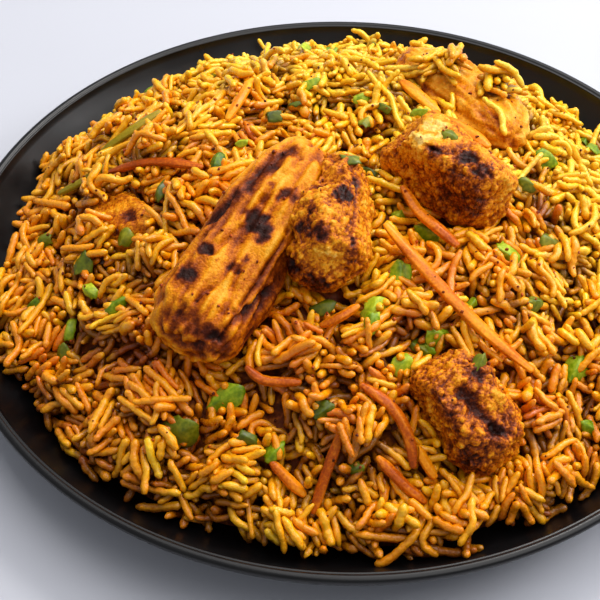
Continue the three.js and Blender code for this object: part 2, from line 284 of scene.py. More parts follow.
class Finish:
    """A material under construction: its node tree, and short ways to add to it."""

    def __init__(self, name, **sockets):
        """Sockets with one value all over, such as Coat_Weight, are set on the shader itself."""
        self.material = bpy.data.materials.new(name)
        self.material.use_nodes = True
        self.tree = self.material.node_tree
        self.shader = self.tree.nodes["Principled BSDF"]
        for socket, value in sockets.items():
            self.shader.inputs[socket.replace("_", " ")].default_value = value

    def join(self, source, target):
        """Draws a link from one socket to another."""
        self.tree.links.new(source, target)

    def add(self, kind, settings=None, **inputs):
        """A new node. Its inputs are named, or numbered as _0 and _1, and take values or links."""
        node = self.tree.nodes.new("ShaderNode" + kind)
        for key, value in (settings or {}).items():
            setattr(node, key, value)
        for key, value in inputs.items():
            socket = node.inputs[int(key[1:]) if key[1:].isdigit() else key.replace("_", " ")]
            if isinstance(value, bpy.types.NodeSocket):
                self.join(value, socket)
            else:
                socket.default_value = value
        return node

    def painted(self, name):
        """The value that was painted on the points under a name."""
        return self.add("Attribute", {"attribute_name": name}).outputs["Fac"]

    def place(self):
        """The spot's place on the whole plate, in metres."""
        return self.add("TexCoord").outputs["Object"]

    def noise(self, size, detail=2.0):
        """Noise from 0 to 1 whose lumps are about size metres wide."""
        node = self.add("TexNoise", Vector=self.place(), Scale=1 / size, Detail=detail)
        return node.outputs["Fac"]

    def spread(self, value, low, high, to_low=0.0, to_high=1.0):
        """Takes low..high to to_low..to_high, and no further."""
        ends = {"From_Min": low, "From_Max": high, "To_Min": to_low, "To_Max": to_high}
        return self.add("MapRange", Value=value, **ends).outputs["Result"]

    def vary(self, noise, to_low, to_high):
        """Spreads noise over a range. Hardly any of it lies outside 0.3 to 0.7."""
        return self.spread(noise, 0.3, 0.7, to_low, to_high)

    def plus(self, first, second):
        """Two values added up."""
        return self.add("Math", {"operation": "ADD"}, _0=first, _1=second).outputs[0]

    def ramp(self, value, stops):
        """A colour for each value, from stops of a position and a colour."""
        node = self.add("ValToRGB", Fac=value)
        elements = node.color_ramp.elements
        while len(elements) < len(stops):
            elements.new(0.5)
        for element, (position, colour) in zip(elements, stops):
            element.position = position
            element.color = (*colour, 1)
        return node.outputs["Color"]

    def blend(self, share, first, second):
        """A mix of two colours. The Mix node has its share at 0 and its colours at 6 and 7."""
        first, second = [each if isinstance(each, bpy.types.NodeSocket) else (*each, 1)
                         for each in (first, second)]
        return self.add("Mix", {"data_type": "RGBA"}, _0=share, _6=first, _7=second).outputs[2]

    def bump(self, height, strength, distance):
        """Small relief that only the light sees."""
        node = self.add("Bump", Height=height, Strength=strength, Distance=distance)
        return node.outputs["Normal"]

    def wear(self, colour=None, roughness=None, normal=None):
        """Joins the made patterns to the shader and gives the material back."""
        for socket, value in (("Base Color", colour), ("Roughness", roughness), ("Normal", normal)):
            if value is not None:
                self.join(value, self.shader.inputs[socket])
        return self.material


def colour_of(red, green, blue):
    """A colour given as 0-255 screen values, as the light values that shaders use."""
    values = np.array([red, green, blue]) / 255
    return tuple(np.where(values <= 0.04045, values / 12.92, ((values + 0.055) / 1.055) ** 2.4))


# %% [markdown]
# ## The table
#
# The real one is a smooth pale surface, out of focus below the plate. It could be a backdrop
# that curves up behind, but the picture shows only what lies under and near the plate, so it
# is one large flat face with a faint unevenness in its shine.

# %% Table
TABLE_HALF = 1.6
TABLE_COLOUR = (0.535, 0.545, 0.6, 1)
table_finish = Finish("pale_table", Base_Color=TABLE_COLOUR)
table_material = table_finish.wear(
    roughness=table_finish.vary(table_finish.noise(30 * MM), 0.5, 0.62)
)
table_corners = TABLE_HALF * np.array([[-1, -1, 0], [1, -1, 0], [1, 1, 0], [-1, 1, 0]], float)
table_mesh = mesh_from_arrays("table", table_corners, [np.array([[0, 1, 2, 3]])])
table = bpy.data.objects.new("table", table_mesh)
table.data.materials.append(table_material)
bpy.context.scene.collection.objects.link(table)

# %% [markdown]
# ## The plate
#
# A coupe plate is turned: one profile, swept once round. It has a flat floor that curves up
# to a thin lip, a foot ring underneath, and a fine groove just inside the lip that catches
# the light as a thin bright line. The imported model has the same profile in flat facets, so
# here it is swept again in many more steps, with the lip's roundness and the groove.

# %% Plate profile
FLOOR_HEIGHT = 6.5 * MM
FLOOR_RADIUS = 86 * MM
FOOT_RADIUS = 66 * MM
FOOT_WIDTH = 5 * MM
FOOT_RECESS = 2 * MM
FOOT_SOFTNESS = 0.5 * MM
LIP_WIDTH = 3.1 * MM
LIP_RISE = 1.3 * MM
LIP_FLATNESS = 0.6
WALL = 4 * MM
SWEEP_POWER = 3
UNDER_START = 82 * MM
UNDER_END = 111.4 * MM
GROOVE_DEPTH = 0.45 * MM
GROOVE_WIDTH = 0.7 * MM
TURN_STEPS = 240
SWEEP_STEPS = 26
LIP_STEPS = 14
CORNER_STEPS = 5
LIP_INNER = PLATE_RADIUS - LIP_WIDTH
LIP_START = LIP_HEIGHT - LIP_RISE


def plate_inside(radius):
    """How high the inside of the plate is at a radius. Works on arrays too."""
    along = np.clip((radius - FLOOR_RADIUS) / (LIP_INNER - FLOOR_RADIUS), 0, None)
    return FLOOR_HEIGHT + (LIP_START - FLOOR_HEIGHT) * along**SWEEP_POWER


def plate_underside(radius):
    """A point of the underside, a wall's thickness below the inside."""
    slope = (plate_inside(radius + 0.1 * MM) - plate_inside(radius - 0.1 * MM)) / (0.2 * MM)
    along = max(0.0, (radius - FLOOR_RADIUS) / (LIP_INNER - FLOOR_RADIUS))
    wall = WALL + (LIP_WIDTH - WALL) * along
    length = math.hypot(1, slope)
    return radius + wall * slope / length, plate_inside(radius) - wall / length


def rounded(centre, radius, start, end, steps):
    """Points of an arc from one angle to another, in degrees."""
    angles = np.radians(np.linspace(start, end, steps))
    return [(centre[0] + radius * math.cos(a), centre[1] + radius * math.sin(a)) for a in angles]


def plate_profile():
    """The plate's cut from the middle of its underside round the lip to the middle inside."""
    soft = FOOT_SOFTNESS
    inner_foot = FOOT_RADIUS - FOOT_WIDTH
    profile = [(0, FOOT_RECESS), (inner_foot - FOOT_RECESS / 2, FOOT_RECESS)]
    profile += rounded((inner_foot + soft, soft), soft, 180, 270, CORNER_STEPS)
    profile += rounded((FOOT_RADIUS - soft, soft), soft, 270, 360, CORNER_STEPS)
    profile += [(FOOT_RADIUS + FOOT_RECESS / 2, FOOT_RECESS)]
    profile += [plate_underside(r) for r in np.linspace(UNDER_START, UNDER_END, SWEEP_STEPS)]
    lip_middle = LIP_INNER + LIP_WIDTH / 2
    for angle in np.radians(np.linspace(0, 180, LIP_STEPS)):
        radius = lip_middle + LIP_WIDTH / 2 * math.cos(angle)
        # the groove runs round the top of the lip, near its inner edge
        inward = (radius - LIP_INNER - GROOVE_WIDTH) / (GROOVE_WIDTH / 2)
        groove = GROOVE_DEPTH * math.exp(-inward * inward)
        profile.append((radius, LIP_START + LIP_RISE * math.sin(angle) ** LIP_FLATNESS - groove))
    profile += [(r, plate_inside(r)) for r in np.linspace(LIP_INNER, FLOOR_RADIUS, SWEEP_STEPS)[1:]]
    profile += [(0.5 * FLOOR_RADIUS, FLOOR_HEIGHT), (0, FLOOR_HEIGHT)]
    return np.array(profile, float)


# %% Turn the plate


def turned_mesh(name, profile, steps):
    """Sweeps a profile of (radius, height), with both ends on the axis, once round."""
    rings = profile[1:-1]
    angles = np.linspace(0, 2 * np.pi, steps, endpoint=False)
    x = rings[:, 0, None] * np.cos(angles)
    y = rings[:, 0, None] * np.sin(angles)
    z = np.broadcast_to(rings[:, 1, None], x.shape)
    points = np.stack([x, y, z], -1).reshape(-1, 3)
    points = np.vstack([points, [[0, 0, profile[0, 1]], [0, 0, profile[-1, 1]]]])
    ring, side = np.meshgrid(np.arange(len(rings) - 1), np.arange(steps), indexing="ij")
    near = ring * steps + side
    beside = ring * steps + (side + 1) % steps
    quads = np.stack([near, beside, beside + steps, near + steps], -1).reshape(-1, 4)
    around = np.arange(steps)
    after = (around + 1) % steps
    last = (len(rings) - 1) * steps
    under = np.stack([np.full(steps, len(points) - 2), after, around], -1)
    inside = np.stack([np.full(steps, len(points) - 1), last + around, last + after], -1)
    return mesh_from_arrays(name, points, [quads, np.vstack([under, inside])])


# %% [markdown]
# Satin black glaze isn't evenly dull: faint smears left by wiping shine a little more than
# the rest, and pores too fine to see one by one soften its highlights. Two noises, one broad
# and one fine, do that. Only their roughness and colour differ, so the black stays black.

# %% Glaze
glaze = Finish(
    "satin_black_glaze",
    Base_Color=(*colour_of(9, 8, 9), 1),
    Specular_IOR_Level=0.3,
    Coat_Weight=0.06,
    Coat_Roughness=0.2,
)
fine_pores = glaze.noise(0.6 * MM, 3)
smears = glaze.noise(18 * MM, 4)
plate_material = glaze.wear(
    colour=glaze.blend(
        glaze.spread(smears, 0.35, 0.7), colour_of(7, 6, 7), colour_of(13, 12, 13)
    ),
    roughness=glaze.spread(smears, 0.3, 0.75, 0.27, 0.42),
    normal=glaze.bump(fine_pores, 0.12, 0.05 * MM),
)
plate_mesh = turned_mesh("coupe_plate", plate_profile(), TURN_STEPS)
add_piece("coupe_plate", plate_mesh, plate_material, ["plate"])
print("plate faces:", len(plate_mesh.polygons))

# %% [markdown]
# ## The chicken: shape
#
# The six pieces are roast chicken: a long breast strip with smooth lengthwise fibres, four
# chunks in a crumbly crust, and one piece under a sticky glaze. A sculptor would start from
# a plain lump and work from big bumps to small ones, and the same is done here. The packed
# lump is rebuilt in small even squares, softened, and then each point is pushed out or in
# along its normal by noise of several sizes. Grooves are pressed in along lines, and both
# lines and marks of scorching and of painted shade are given as pixels of the picture: a
# line of sight through the pixel finds the spot on the meat, so they lie on the surface from
# every side.

# %% Even copies of the imported lumps
SOFTENING = 14


def working_copy(name):
    """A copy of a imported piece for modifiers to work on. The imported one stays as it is."""
    rough = bpy.data.objects.new(name + "_rough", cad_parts[name].data.copy())
    bpy.context.scene.collection.objects.link(rough)
    return rough


def shaped_mesh(rough, name):
    """The mesh that a working copy's modifiers make. The working copy is thrown away."""
    shaped = rough.evaluated_get(bpy.context.evaluated_depsgraph_get())
    mesh = bpy.data.meshes.new_from_object(shaped)
    bpy.data.objects.remove(rough)
    mesh.name = name
    mesh.materials.clear()
    mesh.polygons.foreach_set("use_smooth", np.ones(len(mesh.polygons), bool))
    return mesh


def even_copy(name, square):
    """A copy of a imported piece, rebuilt in small even squares with its facets softened."""
    rough = working_copy(name)
    remesh = rough.modifiers.new("even_squares", "REMESH")
    remesh.mode = "VOXEL"
    remesh.voxel_size = square
    soften = rough.modifiers.new("soften", "SMOOTH")
    soften.factor = 0.6
    soften.iterations = SOFTENING
    return shaped_mesh(rough, name)


# %% Directions and spots on a piece
FIBRE_STRETCH = np.array([0.12, 1, 1])


def along_fibres(points):
    """Places in a piece's own frame, squeezed lengthwise, so that noise read there is drawn out."""
    middle = points.mean(0)
    _, _, axes = np.linalg.svd((points - middle)[::7], full_matrices=False)
    return (points - middle) @ axes.T * FIBRE_STRETCH


def seen_spots(tree, pixels):
    """Where the lines of sight through some pixels meet a piece; those that miss are left."""
    hits = [tree.ray_cast(camera.location, sight_line(pixel))[0] for pixel in pixels]
    return [np.array(hit) for hit in hits if hit]


def distance_to_line(points, corners):
    """How far each point is from a bent line through some corners."""
    best = np.full(len(points), np.inf)
    for start, end in zip(corners, corners[1:]):
        run = end - start
        share = np.clip((points - start) @ run / (run @ run), 0, 1)
        best = np.minimum(best, np.linalg.norm(points - start - share[:, None] * run, axis=1))
    return best


# %% [markdown]
# Crumbs of a crust aren't waves: each is a little dome with a gap around it. A lattice with
# one crumb in each cell, moved and sized at random, gives them.

# %% Crumbs
CRUMB_REACH = 0.8
LEAST_CRUMB = 0.35


def crumbs_at(points, size, seed):
    """From 0 between the crumbs of a crust to 1 on top of one; some crumbs are bigger."""
    places = np.asarray(points, float) / size
    cell = np.floor(places).astype(np.int64)
    nearest = np.full(len(places), 9.0)
    height = np.zeros(len(places))
    for shift in product((-1, 0, 1), repeat=3):
        near = cell + shift
        middle = near + np.stack([lattice_random(near, seed + i) for i in range(3)], -1)
        away = np.linalg.norm(places - middle, axis=1)
        closer = away < nearest
        nearest = np.where(closer, away, nearest)
        height = np.where(closer, lattice_random(near, seed + 3), height)
    dome_shape = np.sqrt(np.clip(1 - (nearest / CRUMB_REACH) ** 2, 0, 1))
    return (LEAST_CRUMB + (1 - LEAST_CRUMB) * height) * dome_shape


# %% [markdown]
# Each piece has a recipe: how lumpy, crumbly and fibrous it is, how brown it is all over, and
# its own marks. A mark is a pixel, a radius in millimetres and a strength: positive is
# scorched, or painted shade on a face turned from the lamps, and negative is pale. A line is
# some pixels, a width, a depth and how dark its bottom is painted, as painted shade in the
# groove. Its seed makes a piece differ from the others, and square is how finely it is
# rebuilt, in millimetres.

# %% Recipes
ROAST = {
    "chicken_breast_strip": {
        "lumps": 0.6, "crumbs": 0.22, "fibres": 0.86, "brown": 0.43, "seed": 1, "square": 0.58,
        "marks": [
            ((262, 228), 3.5, 0.62), ((252, 213), 2.3, 0.34), ((187, 273), 2.9, 0.55),
            ((206, 249), 1.8, 0.45), ((157, 288), 3.0, 0.5), ((248, 259), 1.7, 0.3),
            ((216, 261), 0.9, 0.28), ((236, 270), 1.0, 0.3), ((178, 255), 0.8, 0.3),
            ((183, 328), 4.6, 0.17), ((203, 334), 4.2, 0.15), ((170, 318), 3.2, 0.13),
            ((190, 350), 5.0, 0.13), ((287, 195), 2.4, 0.38), ((270, 186), 1.2, 0.22),
            ((225, 300), 6.0, -0.07), ((215, 290), 4.0, -0.08), ((199, 300), 1.0, 0.2),
            # painted shade: the marks on this line and the next darken the lower right side and the
            # foot of the strip, which face away from the lamps
            ((250, 325), 6.0, 0.16), ((268, 305), 6.0, 0.16), ((282, 280), 5.0, 0.14),
            ((228, 345), 5.0, 0.16), ((200, 362), 5.0, 0.13), ((165, 345), 4.0, 0.1),
        ],
        "lines": [
            ([(199, 228), (214, 213), (232, 196), (262, 172), (290, 149)], 1.9, 1.3, 0.6),
            ([(160, 300), (172, 276), (185, 259), (199, 241), (210, 226)], 0.8, 1.5, 0.22),
            ([(174, 316), (194, 301), (216, 284)], 0.6, 0.9, 0.2),
            ([(222, 312), (229, 298), (236, 281)], 0.6, 0.8, 0.2),
            ([(222, 340), (227, 326), (248, 311), (270, 288)], 0.9, 1.6, 0.34),
            ([(196, 345), (212, 335), (222, 328)], 0.9, 1.2, 0.3),
            ([(240, 226), (226, 240), (214, 254)], 0.6, 0.8, 0.12),
            ([(288, 232), (272, 262), (250, 292), (232, 312)], 0.7, 1.3, 0.22),
            ([(300, 158), (280, 178), (262, 200)], 0.7, 0.9, 0.16),
        ],
    },
    "chicken_crusted_chunk": {
        "lumps": 1.35, "crumbs": 0.95, "fibres": 0.0, "brown": 0.485, "seed": 2, "square": 0.42,
        "marks": [
            ((347, 192), 2.7, 0.6), ((354, 184), 1.8, 0.45), ((337, 197), 1.6, 0.36),
            ((304, 223), 2.8, 0.4), ((318, 232), 2.6, 0.4), ((311, 212), 2.0, 0.28),
            ((318, 178), 2.4, 0.38), ((296, 190), 3.4, -0.2), ((290, 205), 2.6, -0.18),
            ((364, 205), 2.4, -0.14), ((362, 225), 2.6, -0.12), ((354, 240), 1.4, 0.45),
            # the last two marks on the next line are painted shadow low on the chunk, where it meets
            # the rice
            ((322, 152), 1.4, 0.45), ((289, 264), 3.4, 0.45), ((318, 284), 4.2, 0.34),
            ((330, 256), 5.0, -0.1), ((350, 256), 3.0, 0.2),
        ],
        "lines": [
            ([(356, 182), (357, 205), (352, 232)], 0.8, 0.8, 0.3),
            ([(305, 178), (318, 186), (330, 182)], 0.8, 0.7, 0.3),
        ],
    },
    "chicken_cut_chunk": {
        "lumps": 1.3, "crumbs": 0.85, "fibres": 0.1, "brown": 0.45, "seed": 3, "square": 0.44,
        "marks": [
            ((420, 134), 4.4, -0.36), ((436, 127), 4.4, -0.36), ((412, 122), 2.6, 0.3),
            ((433, 148), 2.4, 0.34), ((468, 156), 2.6, 0.38), ((482, 170), 2.2, 0.34),
            # painted shade: the three marks on the next line darken the front of the chunk, turned from
            # the lamps
            ((452, 174), 5.0, 0.16), ((440, 198), 6.0, 0.18), ((470, 205), 6.0, 0.2),
            ((446, 158), 1.8, -0.14), ((500, 178), 3.0, -0.06),
            ((464, 172), 1.6, -0.1),
        ],
        "lines": [([(428, 146), (440, 152), (452, 150)], 1.0, 1.2, 0.3)],
    },
    "chicken_front_chunk": {
        "lumps": 1.4, "crumbs": 1.0, "fibres": 0.0, "brown": 0.53, "seed": 4, "square": 0.42,
        "marks": [
            # painted shade: the first two marks on the next line darken the left side of the chunk,
            # turned from the lamps
            ((437, 388), 4.0, 0.16), ((448, 412), 4.0, 0.12), ((498, 429), 2.2, 0.3),
            ((470, 464), 4.6, 0.18), ((445, 368), 4.0, -0.12), ((494, 408), 3.4, -0.1),
            ((486, 449), 1.8, 0.2), ((477, 374), 2.2, 0.24),
        ],
        "lines": [([(463, 391), (474, 405), (486, 418), (500, 432)], 1.6, 1.1, 0.4)],
    },
    "chicken_glazed_strip": {
        "lumps": 1.2, "crumbs": 0.4, "fibres": 0.75, "brown": 0.31, "seed": 5, "square": 0.6,
        "marks": [
            ((405, 58), 3.5, 0.25), ((450, 75), 5.0, -0.14), ((500, 118), 4.0, 0.06),
            ((518, 142), 3.0, 0.24), ((425, 92), 3.0, 0.2), ((488, 100), 3.0, -0.1),
        ],
        "lines": [([(440, 82), (462, 96), (480, 112)], 1.0, 0.8, 0.16)],
    },
    "chicken_sunken_piece": {
        "lumps": 0.9, "crumbs": 0.6, "fibres": 0.1, "brown": 0.42, "seed": 6, "square": 0.6,
        "marks": [((102, 196), 4.0, 0.12), ((130, 215), 3.0, 0.3), ((112, 225), 3.0, 0.1)],
        "lines": [([(95, 200), (112, 190), (130, 186)], 0.9, 0.8, 0.25)],
    },
}


# %% Sculpt the chicken
CRUMB_MIDDLE = 0.75  # so that crumbs stand as much out of the piece as their gaps go into it


def sculpt(name, recipe):
    """The finished mesh of one piece of chicken, with browning and painted shade on its points."""
    mesh = even_copy(name, recipe["square"] * MM)
    points, normals = points_of(mesh), normals_of(mesh)
    seed = 100 * recipe["seed"]
    lumps = layered_noise(points, (0.8, 7.5, seed), (0.6, 3.6, seed + 1))
    crumbs = crumbs_at(points, 1.7 * MM, seed + 20) + 0.7 * crumbs_at(points, 1.0 * MM, seed + 30)
    crumbs = crumbs - CRUMB_MIDDLE
    fibres = layered_noise(along_fibres(points), (1, 1.3, seed + 4), (0.6, 2.6, seed + 5))
    out = recipe["lumps"] * lumps + recipe["crumbs"] * crumbs + recipe["fibres"] * fibres
    # painted shade: raised crumbs and fibres are painted paler, the gaps between them browner
    brown = recipe["brown"] - 0.03 * lumps - 0.34 * recipe["crumbs"] * crumbs
    brown = brown - 0.22 * recipe["fibres"] * fibres
    brown = brown + layered_noise(points, (0.07, 11, seed + 6), (0.07, 4, seed + 9))
    tree = tree_of(mesh)
    # how far the edges of marks wander
    wander = MM * layered_noise(points, (1.7, 2.4, seed + 7), (0.9, 1.0, seed + 8))
    for pixel, radius, strength in recipe["marks"]:
        for spot in seen_spots(tree, [pixel]):
            away = np.linalg.norm(points - spot, axis=1) + wander
            near = 1 - smoothstep(0.35 * radius * MM, 1.15 * radius * MM, away)
            halo = 1 - smoothstep(0.6 * radius * MM, 1.9 * radius * MM, away)
            brown = brown + 0.85 * strength * near + 0.25 * strength * halo
            out = out + max(strength, 0) * near * (0.8 * crumbs - 0.4)
    for pixels, width, depth, dark in recipe["lines"]:
        corners = seen_spots(tree, pixels)
        if len(corners) > 1:
            away = distance_to_line(points, corners) + 0.5 * wander
            near = np.exp(-((np.maximum(away, 0) / (width * MM)) ** 2))
            out = out - depth * near
            # painted shade: the bottom of each groove is painted darker
            brown = brown + dark * near * (0.75 + 0.5 * np.clip(crumbs, -0.5, 0.5))
    set_points(mesh, points + normals * (out * MM)[:, None])
    # the painted browning also holds painted shade: crumb gaps, groove bottoms and shaded faces
    paint(mesh, "brown", np.clip(brown, 0, 1))
    return mesh


# %% [markdown]
# ## The chicken: finish
#
# One ramp holds every shade of roasting, from pale cut meat through gold and brown to black
# char, and the painted browning, which also holds painted shade, picks from it. Fine noise
# breaks it up, because roasted skin is never even. A thin coat of oil lies over the meat,
# thickest on the glazed piece, and the shine underneath changes with the browning.

# %% Chicken finish
ROAST_SHADES = [
    (0.00, colour_of(248, 206, 112)),
    (0.18, colour_of(246, 180, 56)),
    (0.34, colour_of(234, 148, 10)),
    (0.48, colour_of(196, 102, 3)),
    (0.62, colour_of(130, 52, 2)),
    (0.78, colour_of(70, 20, 2)),
    (1.00, colour_of(34, 7, 1)),
]


def roast_material(name, shine, grain, gloss):
    """Roast meat: how oily it is, how speckled, and its roughness where pale and where brown."""
    finish = Finish(name, Specular_IOR_Level=0.12, Coat_Weight=shine, Coat_Roughness=0.22)
    brown = finish.painted("brown")
    speckle = finish.noise(0.62 * MM, 3)
    blotch = finish.noise(3.5 * MM, 3)
    shade = finish.plus(brown, finish.vary(speckle, -grain, grain))
    shade = finish.plus(shade, finish.vary(blotch, -0.05, 0.05))
    return finish.wear(
        colour=finish.ramp(shade, ROAST_SHADES),
        roughness=finish.spread(finish.plus(brown, speckle), 0.8, 1.5, *gloss),
        normal=finish.bump(speckle, 0.8, 0.45 * MM),
    )


roast_finishes = {
    "chicken_breast_strip": roast_material("roast_breast", 0.05, 0.06, (0.34, 0.55)),
    "chicken_glazed_strip": roast_material("sticky_glaze", 0.1, 0.07, (0.3, 0.5)),
}
crust = roast_material("crumbly_crust", 0.08, 0.12, (0.5, 0.34))

# %% Make the chicken
meat = {}
for name, recipe in ROAST.items():
    meat[name] = sculpt(name, recipe)
    add_piece("roast_" + name, meat[name], roast_finishes.get(name, crust), [name])
    print(name, len(meat[name].polygons), "squares")

# %% [markdown]
# ## Carrot and pepper strips
#
# Strips cut from carrot and pepper cook soft: their edges round off, they shine, and faint
# fibres run along them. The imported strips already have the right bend, so each is copied,
# smoothed by subdivision and roughened a little. The fibres are noise whose lumps are drawn
# out lengthwise, painted on as a value so that they follow every bend.

# %% Strip shapes
strip_names = [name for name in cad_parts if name.startswith(("carrot", "pepper"))]
STRIP_TONE = 0.62
# strips that have soaked up sauce among the rice, and how much darker they are for it
SOAKED = {
    "carrot_long": 0.12,
    "carrot_front_curl": 0.3,
    "carrot_front_low": 0.25,
    "carrot_front_left": 0.3,
    "carrot_under_strip": 0.35,
    "carrot_low_left": 0.15,
    "carrot_middle": 0.2,
    "carrot_upper": 0.15,
    "carrot_left_band": 0.35,
}


def strip_mesh(name, seed):
    """The finished mesh of one strip, with its fibres painted on."""
    rough = working_copy(name)
    weld = rough.modifiers.new("weld", "WELD")
    weld.merge_threshold = 0.02 * MM
    finer = rough.modifiers.new("finer", "SUBSURF")
    finer.subdivision_type = "SIMPLE"
    finer.levels = 2
    ease = rough.modifiers.new("ease", "SMOOTH")
    ease.factor = 0.5
    ease.iterations = 3
    mesh = shaped_mesh(rough, name)
    points, normals = points_of(mesh), normals_of(mesh)
    fibres = value_noise(along_fibres(points), 1.1 * MM, seed)
    waver = value_noise(points, 4 * MM, seed + 1)
    set_points(mesh, points + normals * ((0.16 * waver + 0.05 * fibres) * MM)[:, None])
    tone = STRIP_TONE - SOAKED.get(name, 0) + 0.12 * fibres
    paint(mesh, "fibres", np.clip(tone + 0.16 * value_noise(points, 7 * MM, seed + 2), 0, 1))
    return mesh


# %% [markdown]
# Carrot goes from brown-red where sauce has soaked in to bright orange, pepper from dark to
# light olive. Both read the painted fibres through a ramp of their own.

# %% Strip finish


def strip_material(name, shades, rough):
    """A cooked strip, from its shades and its roughness."""
    finish = Finish(name, Specular_IOR_Level=0.22, Roughness=rough)
    speckle = finish.noise(0.7 * MM, 2)
    shade = finish.plus(finish.painted("fibres"), finish.vary(speckle, -0.1, 0.1))
    return finish.wear(
        colour=finish.ramp(shade, shades), normal=finish.bump(speckle, 0.25, 0.15 * MM)
    )


carrot_material = strip_material(
    "cooked_carrot",
    [
        (0.0, colour_of(104, 34, 2)),
        (0.3, colour_of(184, 80, 3)),
        (0.6, colour_of(244, 142, 6)),
        (0.9, colour_of(254, 190, 36)),
    ],
    0.34,
)
pepper_material = strip_material(
    "olive_pepper",
    [(0.1, colour_of(92, 82, 8)), (0.5, colour_of(140, 122, 14)), (0.9, colour_of(184, 158, 36))],
    0.36,
)

# %% Make the strips
FIRST_STRIP_SEED = 300
strips = {}
for number, name in enumerate(strip_names):
    strips[name] = strip_mesh(name, FIRST_STRIP_SEED + 10 * number)
    is_pepper = name.startswith("pepper")
    material = pepper_material if is_pepper else carrot_material
    add_piece("cooked_" + name, strips[name], material, [name])
print("strips:", len(strips))

# %% [markdown]
# ## The rice: what it rests on
#
# On the real plate rice goes all the way down, but only its outer few millimetres can be
# seen. So the inside is one solid core, a little smaller than the mound, and loose grains
# fill the space between. To settle them we must know how high the core is under any spot
# and how far any spot is from the chicken. Both go into grids, which numpy can read for all
# the grains at once.

# %% The mound's shape
HEAP_RADIUS = 102.5 * MM
HEAP_PEAK = 51 * MM
HEAP_POWER = 2.8
HEAP_RIM = 2.4 * MM
COVER = 8.6 * MM
CORE_INSET = 5.5 * MM
print(f"the mound is {2 * HEAP_RADIUS / MM:.0f} mm across and {HEAP_PEAK / MM:.0f} mm high")


def heap_edge(angle):
    """How far out the rice reaches in a direction."""
    wander = 0.9 * MM * np.sin(5 * angle + 1) + 0.7 * MM * np.sin(9 * angle + 2)
    return HEAP_RADIUS + wander


def dome(x, y):
    """The height of the even dome that the mound follows."""
    edge = heap_edge(np.arctan2(y, x))
    share = np.clip(np.hypot(x, y) / edge, 0, 1.15)
    rim = plate_inside(edge) + HEAP_RIM
    return rim + (HEAP_PEAK - rim) * (1 - share**HEAP_POWER)


# %% Distance from the chicken
chicken_tree = tree_of(*meat.values())
GRID_STEP = 2 * MM
GRID_LOW = np.array([-112, -112, 4]) * MM
GRID_SIZE = np.array([113, 113, 36])
grid_axes = [low + GRID_STEP * np.arange(size) for low, size in zip(GRID_LOW, GRID_SIZE)]


def signed_distance(point):
    """Metres from a point to the nearest chicken, negative inside it."""
    near, normal, _, distance = chicken_tree.find_nearest(point)
    return distance if (Vector(point) - near).dot(normal) > 0 else -distance


grid_spots = np.stack(np.meshgrid(*grid_axes, indexing="ij"), -1).reshape(-1, 3)
chicken_distance = np.array([signed_distance(spot) for spot in grid_spots.tolist()])
chicken_distance = chicken_distance.reshape(GRID_SIZE)
print("grid spots inside chicken:", int((chicken_distance < 0).sum()))


def look_up(grid, points):
    """Reads a grid at any points, blending between its values, with the slope there."""
    places = np.clip((points - GRID_LOW) / GRID_STEP, 0, GRID_SIZE - 1.001)
    cell = places.astype(int)
    share = places - cell
    i, j, k = cell.T
    value = np.zeros(len(points))
    slope = np.zeros((len(points), 3))
    for corner in product((0, 1), repeat=3):
        found = grid[i + corner[0], j + corner[1], k + corner[2]]
        weights = np.where(corner, share, 1 - share)
        value += found * weights.prod(1)
        for axis in range(3):
            others = np.delete(weights, axis, 1).prod(1)
            slope[:, axis] += found * others * (1 if corner[axis] else -1)
    return value, unit(slope)


def unit(vectors):
    """Vectors brought to a length of one."""
    return vectors / np.maximum(np.linalg.norm(vectors, axis=-1, keepdims=True), 1e-12)


# %% Height of the core
CHICKEN_GAP = 0.6 * MM
BELOW_FLOOR = 4 * MM
FLAT_STEP = 1 * MM
FLAT_HALF = 112 * MM
flat_axis = np.arange(-FLAT_HALF, FLAT_HALF + FLAT_STEP / 2, FLAT_STEP)
flat_x, flat_y = np.meshgrid(flat_axis, flat_axis, indexing="ij")


def surroundings(grid):
    """For each cell of a flat grid the nine cells around and at it, stacked."""
    wide = np.pad(grid, 1, mode="edge")
    rows, columns = grid.shape
    shifts = product((0, 1, 2), repeat=2)
    return np.stack([wide[a : a + rows, b : b + columns] for a, b in shifts])


def underside(x, y):
    """The height of the chicken's underside above a spot, or a great height."""
    hit = chicken_tree.ray_cast(Vector((x, y, 5 * MM)), Vector((0, 0, 1)))[0]
    return hit.z if hit else 1.0


def core_grid():
    """The core's height at each spot of a flat grid: lumpy, and nowhere inside the chicken."""
    spots = np.stack([flat_x.ravel(), flat_y.ravel(), np.zeros(flat_x.size)], -1)
    lumps = MM * layered_noise(spots, (1.7, 11, 31), (0.9, 5, 32))
    heights = dome(flat_x, flat_y) - COVER + lumps.reshape(flat_x.shape)
    under = np.array([underside(x, y) for x, y in spots[:, :2].tolist()])
    heights = np.minimum(heights, under.reshape(flat_x.shape) - CHICKEN_GAP)
    out = np.hypot(flat_x, flat_y)
    floor = plate_inside(out)
    beyond = out > heap_edge(np.arctan2(flat_y, flat_x)) - CORE_INSET
    heights = np.where(beyond, floor - BELOW_FLOOR, np.maximum(heights, floor))
    for _ in range(2):
        heights = surroundings(heights).mean(0)
    return heights


core_heights = core_grid()
core_slopes = np.gradient(core_heights, FLAT_STEP)
print(f"the core is up to {core_heights.max() / MM:.1f} mm high")


